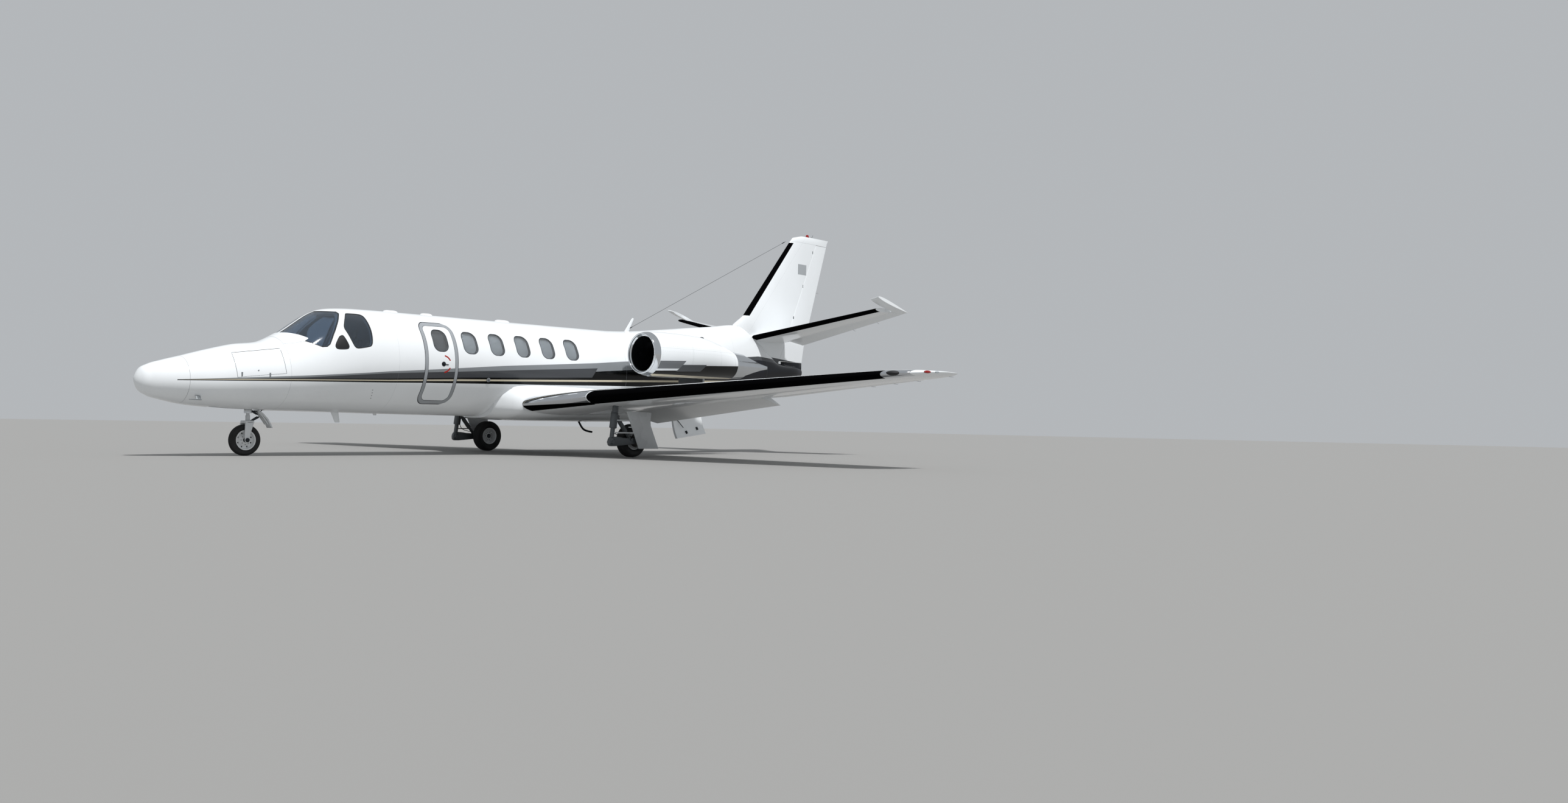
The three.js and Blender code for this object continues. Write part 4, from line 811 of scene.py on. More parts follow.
# Enamel over a forged wheel: white, dulled by brake dust and scuffed at the flange
WHEEL_ENAMEL = plain_material("wheel_enamel", "#e4e6e7", (0.25, 0.45), 0.05, 12.0, mottle=0.14)
# Epoxy gear enamel: hard white, greyed with grease near the joints
GEAR_ENAMEL = plain_material("gear_enamel", "#dcdfe1", (0.22, 0.4), 0.04, 9.0, mottle=0.16)


# Fuselage

def body_ring(station, inset=0.0, sides=ROUND):
    _, top, bottom, half, widest = smooth_row(BODY, station)
    ring = []
    for i in range(sides):
        angle = (i + 0.5) / sides * 2 * math.pi
        rise = top - widest if math.sin(angle) > 0 else widest - bottom
        ring.append(at((half - inset) * math.cos(angle), station, widest + (rise - inset) * math.sin(angle)))
    return ring


def body_rings(start, end, step, inset=0.0, sides=ROUND):
    keys = [row[0] for row in BODY]
    return [body_ring(s, inset, sides) for s in stations(start, end, step, keys)]


def side_tool(outline, side, near=0.2, far=0.9):
    low, high = (near, far) if side > 0 else (-far, -near)
    return prism("side_tool", outline, low, high)


def round_outline(left, right, low, high, corner, grow=0.0, steps=8):
    """A rectangle's outline with round corners, grown outwards."""
    left, right, low, high, corner = left - grow, right + grow, low - grow, high + grow, corner + grow
    centres = [(right - corner, high - corner), (left + corner, high - corner),
               (left + corner, low + corner), (right - corner, low + corner)]
    points = []
    for quarter, (u, v) in enumerate(centres):
        for i in range(steps + 1):
            angle = (quarter + i / steps) * math.pi / 2
            points.append((u + corner * math.cos(angle), v + corner * math.sin(angle)))
    return points


def grown(outline, distance):
    """An outline with its points moved away from its middle."""
    middle = [sum(p[k] for p in outline) / len(outline) for k in (0, 1)]
    points = []
    for u, v in outline:
        du, dv = u - middle[0], v - middle[1]
        length = math.hypot(du, dv)
        points.append((u + du / length * distance, v + dv / length * distance))
    return points


def rounded(outline, passes=2):
    """Cuts an outline's corners, pass by pass, for a smooth edge."""
    for _ in range(passes):
        cut = []
        for a, b in zip(outline, outline[1:] + outline[:1]):
            cut.append((a[0] * 0.78 + b[0] * 0.22, a[1] * 0.78 + b[1] * 0.22))
            cut.append((a[0] * 0.22 + b[0] * 0.78, a[1] * 0.22 + b[1] * 0.78))
        outline = cut
    return outline


def window_fronts(side):
    first = 0 if side > 0 else -1
    return [WINDOW_FIRST - WINDOW_WIDTH / 2 + i * WINDOW_PITCH for i in range(first, 5)]


def glazing_outlines():
    return [(WINDSCREEN, CENTRE_POST), (rounded(VENT_WINDOW), 0.2), (rounded(SIDE_WINDOW), 0.2)]


def window_outline(front, grow=0.0):
    return round_outline(front, front + WINDOW_WIDTH, WINDOW_BOTTOM, WINDOW_TOP, WINDOW_CORNER, grow)


def door_glass_outline(grow=0.0):
    return round_outline(*DOOR_GLASS.values(), WINDOW_CORNER, grow)


def swing_tool(door, side, toward, grow):
    """A sector about a door's hinge line, from just past the line to the door's reach."""
    front, rear = at(*door["front"]), at(*door["rear"])
    along = (rear - front).normalized()
    start, end = front - along * grow, rear + along * grow
    drum = rod("drum", start, end, door["reach"] + grow, 128)
    down = (Vector((0, 0, toward)) - along * along.z * toward).normalized()
    out = along.cross(down).normalized()
    near, deep = 0.018 - grow, 2 * door["reach"]
    wedge = loft("wedge", [[
        place + down * v + out * n for v, n in ((near, -deep), (near, deep), (deep, deep), (deep, -deep))
    ] for place in (start, end)])
    carve(drum, wedge, "INTERSECT")
    carve(drum, box_piece("outboard", at(0.08, 0.1, 0.1), at(1.2, 14, 3)), "INTERSECT")
    return drum if side > 0 else swapped(drum)


def swapped(obj):
    other = mirrored(obj, obj.name + "_mirror")
    bpy.data.objects.remove(obj)
    return other


def hinge_ends(door, radius, thick, side=1):
    front, rear = at(*door["front"]), at(*door["rear"])
    along = (rear - front).normalized()
    drums = [rod("hinge_end", end + along * way * 0.002, end + along * way * thick, radius, 32)
             for end, way in ((front, -1), (rear, 1))]
    return drums if side > 0 else [swapped(drum) for drum in drums]


def nose_door_opening(side):
    tool = swing_tool(NOSE_DOOR, side, -1, HATCH_GAP)
    for drum in hinge_ends(NOSE_DOOR, 0.045, 0.016, side):
        carve(tool, drum)
    return tool


def door_tool(grow):
    """The cabin door's form: round front corners, and a rear edge turned about the hinge line."""
    bottom, top, corner = DOOR["bottom"], DOOR["top"], DOOR["corner"]
    rows = []
    for share in spread(0, 1, 40):
        height = bottom + share * (top - bottom)
        _, crown, keel, half, widest = smooth_row(BODY, DOOR["rear"])
        rise = crown - widest if height > widest else widest - keel
        skin = half * math.sqrt(1 - ((height - widest) / rise) ** 2)
        drop = max(corner - min(height - bottom, top - height), 0)
        rear = DOOR["rear"] - corner + math.sqrt(corner ** 2 - drop ** 2)
        rows.append((math.hypot(DOOR_HINGE[0] - skin, rear - DOOR_HINGE[1]) + grow, height))
    rows[0] = (rows[0][0], bottom - grow)
    rows[-1] = (rows[-1][0], top + grow)
    drum = turned("drum", [(0, bottom - grow)] + rows + [(0, top + grow)], at(*DOOR_HINGE, 0), UP, 144)
    outline = round_outline(DOOR["front"] - grow, DOOR["rear"] + 0.2, bottom - grow, top + grow, corner)
    return carve(drum, prism("outline", outline, 0.15, 0.9), "INTERSECT")


def spread(start, end, steps):
    return [start + (end - start) * i / steps for i in range(steps + 1)]


def cabin_wall(name):
    return hollow(name, body_rings(COCKPIT_FRAME, TAIL_FRAME - SEAM, 0.08),
                  body_rings(COCKPIT_FRAME + 0.04, TAIL_FRAME - 0.07, 0.16, SKIN_WALL))


def make_fuselage():
    nose_cone = loft("radome_skin", body_rings(0.0, RADOME_SEAM - SEAM, 0.025))
    finish_piece(nose_cone, "airframe", BODY_PAINT, ["radome"])
    cabin = cabin_wall("cabin_skin")
    tools = []
    for outline, near in glazing_outlines():
        tools += [side_tool(outline, side, near) for side in (1, -1)]
    for side in (1, -1):
        tools += [side_tool(window_outline(front), side) for front in window_fronts(side)]
    carve(cabin, tools)
    carve(cabin, door_tool(DOOR_GAP))
    finish_piece(cabin, "airframe", BODY_PAINT, ["cabin_shell"])
    tail = hollow("tail_skin", body_rings(TAIL_FRAME, TAIL_END, 0.08),
                  body_rings(TAIL_FRAME + TAIL_WALL, TAIL_BAY_END, 0.2, TAIL_WALL))
    carve(tail, swing_tool(AFT_DOOR, 1, 1, HATCH_GAP))
    finish_piece(tail, "airframe", BODY_PAINT, ["tail_section"])
    bay = [[Vector((p.x, p.y, max(p.z, NOSE_BAY_FLOOR))) for p in ring]
           for ring in body_rings(*NOSE_BAY, 0.1, NOSE_WALL)]
    nose = hollow("nose_skin", body_rings(RADOME_SEAM, COCKPIT_FRAME - SEAM, 0.06), bay)
    for side in (1, -1):
        carve(nose, nose_door_opening(side))
    carve(nose, box_piece("nose_well", at(-0.13, 0.96, 0.3), at(0.13, 1.76, 0.93), 0.03))
    finish_piece(nose, "airframe", BODY_PAINT, ["nose_section"])


make_fuselage()


# Wings and tail surfaces

def half_thickness(x):
    """Half thickness of a four-digit section at a share of its chord, for a thickness of one chord."""
    return 5 * (0.2969 * math.sqrt(x) - 0.126 * x - 0.3516 * x ** 2 + 0.2843 * x ** 3 - 0.1015 * x ** 4)


def foil_point(section, x, side):
    lead, trail, normal, thick, camber = section
    offset = (trail - lead).length * (4 * camber * x * (1 - x) + side * thick * half_thickness(x))
    return lead.lerp(trail, x) + normal * offset


FOIL_SHARES = [(1 - math.cos(math.pi * i / 26)) / 2 for i in range(1, 27)]


def foil_ring(section):
    upper = [foil_point(section, x, 1) for x in reversed(FOIL_SHARES)]
    lower = [foil_point(section, x, -1) for x in FOIL_SHARES]
    return upper + [foil_point(section, 0, 0)] + lower


def wing_section(table, across, camber):
    _, lead_s, lead_h, trail_s, trail_h, thick = straight_row(table, across)
    lead, trail = at(across, lead_s, lead_h), at(across, trail_s, trail_h)
    chord = (trail - lead).normalized()
    return lead, trail, Vector((0, -chord.z, chord.y)), thick, camber


def fin_section(height):
    _, lead_s, trail_s, thick = straight_row(FIN, height)
    return at(0, lead_s, height), at(0, trail_s, height), Vector(ACROSS), thick, 0


def hinge_frame(section, share, below=None):
    upper, lower = foil_point(section, share, 1), foil_point(section, share, -1)
    hinge = upper.lerp(lower, 0.5) if below is None else lower - section[2] * below
    aft = section[1] - hinge
    length = aft.length
    aft.normalize()
    rise = (section[2] - aft * section[2].dot(aft)).normalized()
    return {"hinge": hinge, "radius": (hinge - upper).length, "aft": aft, "rise": rise, "length": length}


def polar(frame_at, radius, degrees):
    angle = math.radians(degrees)
    return (frame_at["hinge"] + frame_at["aft"] * radius * math.cos(angle)
            + frame_at["rise"] * radius * math.sin(angle))


def trailing_edge(frame_at):
    return [frame_at["hinge"] + frame_at["aft"] * frame_at["length"] + frame_at["rise"] * up
            for up in (-0.003, 0.003)]


def plain_ring(frame_at):
    """A surface with a round nose, hinged at the middle of its thickness."""
    nose = [polar(frame_at, frame_at["radius"] - 0.001, d) for d in spread(90, 270, 20)]
    return nose + trailing_edge(frame_at)


def plain_cut_ring(frame_at, travel, spare=GAP + 0.002):
    reach = frame_at["radius"] + spare
    low, high = 264 - travel, 96 + travel
    arc = [polar(frame_at, reach, d) for d in spread(high, low, 16)]
    return arc + [polar(frame_at, 3 * reach, low), polar(frame_at, 1.4, -35), polar(frame_at, 1.4, 35),
                  polar(frame_at, 3 * reach, high)]


def flap_ring(frame_at):
    nose = [polar(frame_at, frame_at["radius"] - 0.005, d) for d in spread(90, 160, 14)]
    heel = (frame_at["hinge"] - frame_at["aft"] * 0.86 * frame_at["radius"]
            + frame_at["rise"] * (FLAP["below"] + 0.004))
    return nose + [heel] + trailing_edge(frame_at)


def flap_cut_ring(frame_at):
    reach = frame_at["radius"] + GAP
    arc = [polar(frame_at, reach, d) for d in spread(92, 190, 18)]
    return arc + [polar(frame_at, 2 * reach, 215), polar(frame_at, 1.4, -35), polar(frame_at, 1.4, 35),
                  polar(frame_at, 2 * reach, 86)]


def wing_at(across):
    return wing_section(WING, across, WING_CAMBER)


def flap_frame(across):
    return hinge_frame(wing_at(across), FLAP["hinge"], FLAP["below"])


def aileron_frame(across):
    return hinge_frame(wing_at(across), AILERON["hinge"])


def stabiliser_at(across):
    return wing_section(STABILISER, across, 0)


def elevator_frame(across):
    return hinge_frame(stabiliser_at(across), ELEVATOR["hinge"])


def rudder_frame(height):
    share = (height - RUDDER["bottom"]) / (RUDDER["top"] - RUDDER["bottom"])
    section = fin_section(height)
    station = RUDDER["low"] + share * (RUDDER["high"] - RUDDER["low"])
    chord = section[1].y - section[0].y
    return hinge_frame(section, (station - MID - section[0].y) / chord)


def span_loft(name, frame_at, places, ring_of):
    return loft(name, [ring_of(frame_at(place)) for place in places])


def pair(obj, name, body, material, node, sided_body=False, degrees=35):
    """Finishes a port piece and its mirror image to starboard."""
    other = mirrored(obj, name + "_right")
    obj.name = name + "_left"
    for piece, side in ((obj, "_left"), (other, "_right")):
        rider = body + side if sided_body else body
        finish_piece(piece, rider, material, [node + side] if node else (), degrees)
    return obj, other


def make_wings():
    places = stations(0.9, 7.45, 0.4, [WING_KINK]) + [7.55, 7.66, 7.76, 7.84, 7.9, 7.935, 7.95]
    wing = loft("wing", [foil_ring(wing_section(WING, a, WING_CAMBER)) for a in places])
    flap_places = [FLAP["inner"] - END_GAP, WING_KINK, FLAP["outer"] + END_GAP]
    tools = [span_loft("flap_cut", flap_frame, flap_places, flap_cut_ring)]
    tools.append(span_loft("aileron_cut", aileron_frame, [AILERON["inner"] - END_GAP, AILERON["outer"] + END_GAP],
                           lambda f: plain_cut_ring(f, AILERON["travel"])))
    tools.append(box_piece("leg_slot", at(2.03, 6.5, 0.3), at(2.21, 6.69, 0.925)))
    tools.append(box_piece("wheel_well", at(1.23, 6.79, 0.3), at(1.86, 7.4, 0.9)))
    for tool in tools:
        carve(wing, tool)
    pair(wing, "wing_skin", "airframe", wing_paint("wing_topcoat"), "wing")
    flap = span_loft("flap", flap_frame, [FLAP["inner"], WING_KINK, FLAP["outer"]], flap_ring)
    near, far = flap_frame(FLAP["inner"])["hinge"], flap_frame(FLAP["outer"])["hinge"]
    moved(flap, turn_about(near, far - near, -FLAP["rest"]))
    pair(flap, "flap_skin", "flap", WHITE_PAINT, "flap", True)
    aileron = span_loft("aileron", aileron_frame, [AILERON["inner"], AILERON["outer"]], plain_ring)
    pair(aileron, "aileron_skin", "aileron", WHITE_PAINT, "aileron", True)


def make_tail():
    upright = fin_paint("fin_topcoat")
    heights = (1.7, 2.22, 2.56, 2.75, 4.4, 4.45, 4.5, 4.56)
    solid = loft("fin_skin", [foil_ring(fin_section(height)) for height in heights])
    body = loft("body_form", body_rings(RADOME_SEAM, TAIL_END, 0.1, -0.0005, 64))
    heights = [FIN[0][0], RUDDER["bottom"], 2.22, 2.56, 2.75, 4.4, RUDDER["top"] + END_GAP]
    cut = span_loft("rudder_cut", rudder_frame, heights, lambda f: plain_cut_ring(f, RUDDER["travel"]))
    carve(solid, cut)
    carve(solid, copied(body, "body_tool"))
    finish_piece(solid, "airframe", upright, ["fin"])
    rudder = span_loft("rudder_skin", rudder_frame, [RUDDER["bottom"], 2.22, 2.56, 2.75, 4.4, RUDDER["top"]],
                       plain_ring)
    finish_piece(rudder, "rudder", upright, ["rudder"])
    plane = loft("stabiliser", [foil_ring(stabiliser_at(a)) for a in spread(0.021, 2.74, 6)])
    carve(plane, span_loft("elevator_cut", elevator_frame, [ELEVATOR["inner"] - 0.03, 2.9],
                           lambda f: plain_cut_ring(f, ELEVATOR["travel"] - 12)))
    carve(plane, copied(body, "body_tool"))
    grown_fin = loft("fin_tool", [
        foil_ring((lead, trail, normal, thick * 1.003 + 0.0003, camber))
        for lead, trail, normal, thick, camber in (fin_section(row[0]) for row in FIN)])
    carve(plane, grown_fin)
    carve(plane, box_piece("rudder_sweep", at(-0.02, 12.96, 2.1), at(0.235, 13.5, 2.5)))
    pair(plane, "stabiliser_skin", "airframe", tail_paint("tail_plane_topcoat"), "stabiliser")
    blade = span_loft("elevator", elevator_frame, [ELEVATOR["inner"], HORN["inner"] - 0.001], plain_ring)
    rings = []
    for across in (HORN["inner"], HORN["inner"] + 0.09, HORN["outer"]):
        lead, trail, *_ = stabiliser_at(ELEVATOR["outer"])
        rise = (across - ELEVATOR["outer"]) * math.tan(math.radians(11))
        rings.append(foil_ring((
            at(across, HORN["nose"], lead.z + rise), Vector((across, trail.y, trail.z + rise)),
            Vector(UP), HORN["thick"], 0)))
    horn = loft("horn", rings)
    near, far = elevator_frame(ELEVATOR["inner"])["hinge"], elevator_frame(ELEVATOR["outer"])["hinge"]
    elevator = joined("elevator", [blade, horn])
    moved(elevator, turn_about(near, far - near, -ELEVATOR["droop"]))
    pair(elevator, "elevator_skin", "elevator", WHITE_PAINT, "elevator", True)
    return body


def fairing_ring(station):
    _, half, bottom, side_low, side_high, top_across, top_height = smooth_row(FAIRING, station)
    corners = [(0, bottom), (half * 0.55, bottom + 0.006), (half * 0.9, (bottom + side_low) / 2),
               (half, side_low), (half, side_high), (top_across + 0.04, top_height - 0.06),
               (top_across, top_height)]
    port = [corners[0]]
    for a, b in zip(corners, corners[1:]):
        port += [(a[0] + (b[0] - a[0]) * t, a[1] + (b[1] - a[1]) * t) for t in (0.33, 0.67, 1)]
    for _ in range(2):
        port = [port[0]] + [
            tuple((p[k] + 2 * q[k] + r[k]) / 4 for k in (0, 1)) for p, q, r in zip(port, port[1:], port[2:])
        ] + [port[-1]]
    port = [(min(u, half + 0.02 * (u - half)), v) for u, v in port]
    starboard = [(-u, v) for u, v in reversed(port[1:])]
    return [at(u, station, v) for u, v in port + starboard]


def make_fairing(body):
    keys = [row[0] for row in FAIRING]
    fairing = loft("fairing_skin", [fairing_ring(s) for s in stations(5.38, 9.25, 0.09, keys)])
    carve(fairing, copied(body, "body_tool"))
    finish_piece(fairing, "airframe", WHITE_PAINT, ["wing_fairing"])


# Engines

def pod_ring(station, radius, height):
    angles = [2 * math.pi * (i + 0.5) / POD_SIDES for i in range(POD_SIDES)]
    return [at(ENGINE_ACROSS + radius * math.cos(a), station, height + radius * math.sin(a)) for a in angles]


def make_engines(body):
    keys = [row[0] for row in POD]
    outer = [smooth_row(POD, s) for s in stations(7.89, 10.02, 0.06, keys)]
    lip = []
    for degrees in spread(-70, 250, 16)[1:-1]:
        angle = math.radians(degrees)
        lip.append((7.884 - 0.022 * math.sin(angle), 0.3395 + 0.0175 * math.cos(angle), 1.762))
    lip.reverse()
    inner = [smooth_row(DUCT, s) for s in stations(7.92, 8.61, 0.06)]
    inner.reverse()
    rings = [pod_ring(*row) for row in [(8.6105, 0.2868, 1.755)] + inner + lip + outer]
    rings += [pod_ring(10.0195, 0.2255, 1.6535), pod_ring(9.6, 0.2505, 1.714)]
    count = len(rings[0])
    points = [p for ring in rings for p in ring]
    faces = ring_faces(rings)[:-2]
    last = (len(rings) - 1) * count
    faces += [(last + i, last + (i + 1) % count, (i + 1) % count, i) for i in range(count)]
    cowl = mesh_object("cowl", points, faces)
    pylon = loft("pylon", [foil_ring(wing_section(PYLON, a, 0)) for a in (0.48, 0.75, 1.0)])
    carve(pylon, copied(body, "body_tool"))
    pod_tool = loft("pod_tool", [pod_ring(*smooth_row(POD, s)) for s in stations(7.9, 10.015, 0.1, keys)])
    carve(pylon, pod_tool)
    nacelle = joined("nacelle", [cowl, pylon])
    paint = nacelle_paint("cowl_topcoat")
    pair(nacelle, "nacelle_skin", "airframe", paint, "nacelle", degrees=28)

    core = loft("core", [pod_ring(*row) for row in (
        (8.62, 0.24, 1.755), (8.9, 0.247, 1.75), (9.6, 0.2495, 1.714), (10.019, 0.2245, 1.6535),
        (10.1, 0.216, 1.652), (10.33, 0.196, 1.648))])
    carve(core, loft("pipe", [pod_ring(9.96, 0.186, 1.648), pod_ring(10.34, 0.189, 1.648)]))
    shaft = rod("shaft", at(ENGINE_ACROSS, 8.49, 1.755), at(ENGINE_ACROSS, 8.63, 1.755), 0.04, 24)
    core = joined("core", [core, shaft])
    burnt = bare_metal("exhaust_steel", "#8d8883", (0.25, 0.4))
    pair(core, "engine_core", "airframe", burnt, "engine")

    table = [(10.0203, 0.256, 1.654), (10.4, 0.222, 1.648), (10.9, 0.178, 1.637)]
    rows = [smooth_row(table, s) for s in stations(10.0203, 10.9, 0.05)]
    shell = loft("reverser", [pod_ring(*row) for row in rows])
    inside = [pod_ring(s, radius - REVERSER_WALL, height) for s, radius, height in rows]
    inside[0] = [p - Vector((0, 0.01, 0)) for p in inside[0]]
    inside[-1] = [p + Vector((0, 0.01, 0)) for p in inside[-1]]
    carve(shell, loft("inside", inside))
    upper = [(10.33, 1.95), (10.33, 1.83), (10.5, 1.765), (10.7, 1.7), (10.91, 1.66), (10.91, 1.95)]
    lower = [(10.33, 1.35), (10.33, 1.47), (10.5, 1.528), (10.7, 1.58), (10.91, 1.614), (10.91, 1.35)]
    carve(shell, [prism("upper", upper, 0.9, 1.7), prism("lower", lower, 0.9, 1.7)])
    polished = bare_metal("polished_aluminium", "#d2d5d8", (0.06, 0.16))
    pair(shell, "reverser_skin", "airframe", polished, "reverser")


BLADE_SECTION = ((-1, 0), (-0.5, 0.06), (0, 0.08), (0.5, 0.06), (1, 0), (0.5, -0.02), (0, -0.03), (-0.5, -0.02))


def fan_blade(side):
    """A blade on the fan's axis, twisted and narrowed from root to tip."""
    rings = []
    for share in spread(0, 1, 5):
        pitch = math.radians(38 + 27 * share)
        width = 0.05 + 0.03 * math.sin(share * 2.2)
        ring = []
        for u, v in BLADE_SECTION:
            a, b = u * width, v * width
            ring.append(Vector((side * (a * math.sin(pitch) + b * math.cos(pitch)),
                                0.058 + a * math.cos(pitch) - b * math.sin(pitch), 0.085 + share * 0.191)))
        rings.append(ring)
    return loft("blade", rings)


def make_fans():
    metal = bare_metal("fan_titanium", "#74777b", (0.25, 0.35))
    for side, name in SIDES:
        centre = at(side * ENGINE_ACROSS, 8.47, 1.755)
        hub = turned("hub", [(0, -0.165), (0.02, -0.16), (0.04, -0.14), (0.062, -0.1), (0.08, -0.05),
                             (0.09, 0), (0.092, 0.05), (0.092, 0.137)], centre, AFT, 40)
        carve(hub, rod("bore", centre + Vector((0, 0.012, 0)), centre + Vector((0, 0.2, 0)), 0.0412, 24))
        blades = [moved(fan_blade(side), Matrix.Translation(centre) @ Matrix.Rotation(angle, 4, "Y"))
                  for angle in spread(0, 2 * math.pi, FAN_BLADES)[:-1]]
        fan = joined(f"fan_{name}_wheel", [hub] + blades)
        finish_piece(fan, f"fan_{name}", metal, [f"fan_{name}"])


make_wings()
body_form = make_tail()
make_fairing(body_form)
make_engines(body_form)
make_fans()
bpy.data.objects.remove(body_form)


# Doors and glazing

def body_shell(name, start, end, outside, inside):
    """A band of the body's wall between two depths under its surface."""
    shell = loft(name, body_rings(start, end, 0.08, outside))
    return carve(shell, loft("core", body_rings(start - 0.01, end + 0.01, 0.08, inside)))


def cut_pane(name, outline, side, depth, thick, near, far=0.9):
    shell = body_shell(name, 1.88, 3.3, depth, depth + thick)
    return carve(shell, side_tool(outline, side, near, far), "INTERSECT")


def make_cockpit_glass():
    for base, outline, near in (("windscreen", WINDSCREEN, CENTRE_POST + 0.0006),
                                ("vent_window", rounded(VENT_WINDOW), 0.2),
                                ("side_window", rounded(SIDE_WINDOW), 0.2)):
        pane = cut_pane(base, grown(outline, -0.012), 1, 0.003, 0.014, near + 0.011)
        # The small window's pane is opaque near black: painted shade of the dark cockpit behind it
        glass = VENT_PANE_PAINTED_SHADE if base == "vent_window" else COCKPIT_GLASS
        pair(pane, base + "_pane", "airframe", glass, base)
        seal = cut_pane(base + "_seal", grown(outline, -0.0006), 1, 0.0015, 0.02, near)
        carve(seal, side_tool(grown(outline, -0.0124), 1, near + 0.0114, 1.0))
        pair(seal, base + "_seal", "airframe", RUBBER, base)


def make_cabin_windows():
    liner_skin = plain_material("cabin_liner", "#c9c4b8", (0.5, 0.7), 0.1, 20.0)
    for side, name in SIDES:
        fronts = window_fronts(side)
        start, end = fronts[0] - 0.06, fronts[-1] + WINDOW_WIDTH + 0.06
        panes = body_shell("cabin_panes_" + name, start, end, 0.003, 0.011)
        carve(panes, [side_tool(window_outline(front, -0.0012), side) for front in fronts], "INTERSECT")
        finish_piece(panes, "airframe", CABIN_GLASS, ["cabin_windows_" + name])
        rings = []
        rows = spread(WINDOW_BOTTOM - 0.01, WINDOW_TOP + 0.01, 60)
        for station in (start + 0.02, end - 0.02):
            _, top, _, half, widest = smooth_row(BODY, station)
            ring = []
            for depth, order in ((0.05, rows), (0.053, list(reversed(rows)))):
                for i, height in enumerate(order):
                    skin = half * math.sqrt(1 - ((height - widest) / (top - widest)) ** 2)
                    index = i if depth < 0.052 else len(rows) - 1 - i
                    ring.append(at(side * (skin - depth - 0.004 * (index % 2)), station, height))
            rings.append(ring)
        finish_piece(loft("window_blinds_" + name, rings), "airframe", BLIND_PLASTIC,
                     ["cabin_windows_" + name], degrees=10)
        liner = body_shell("window_liner_" + name, start, end, LINER_DEPTH, 0.078)
        carve(liner, box_piece("band", at(0.2 if side > 0 else -0.9, start - 0.02, WINDOW_BOTTOM - 0.06),
                               at(0.9 if side > 0 else -0.2, end + 0.02, WINDOW_TOP + 0.05)), "INTERSECT")
        finish_piece(liner, "airframe", liner_skin, ["cabin_windows_" + name])


def skin_point(side, station, height, out=0.0):
    """A point on the body's side at a height, moved out along the surface's normal."""
    _, top, bottom, half, widest = smooth_row(BODY, station)
    rise = top - widest if height > widest else widest - bottom
    share = max(-0.9999, min(0.9999, (height - widest) / rise))
    across = half * math.sqrt(1 - share ** 2)
    normal = Vector((across / half ** 2, 0, (height - widest) / rise ** 2)).normalized()
    normal.y = 0
    point = Vector((across, station - MID, height)) + normal * out
    point.x *= side
    normal.x *= side
    return point, normal


def stud(name, side, station, height, radius, out, sides=24):
    """A low round disc let into the body's side."""
    point, normal = skin_point(side, station, height)
    profile = [(radius, -0.003), (radius, out * 0.7), (radius * 0.85, out)]
    return turned(name, profile, point, normal, sides)


def line_bays(obj, back=Matrix()):
    """Gives plain white paint to a bay's inner faces; back turns an open door shut."""
    obj.data.materials.append(WHITE_PAINT)
    for face in obj.data.polygons:
        centre, normal = back @ face.center, back.to_3x3() @ face.normal
        station = centre.y + MID
        nose = NOSE_BAY[0] - 0.02 < station < NOSE_BAY[1] + 0.015
        if nose or TAIL_FRAME - 0.01 < station < TAIL_BAY_END + 0.02:
            point, outward = skin_point(1 if centre.x > 0 else -1, station, centre.z)
            if (centre - point).dot(outward) < -0.006 or normal.dot(outward) < -0.2:
                face.material_index = 1


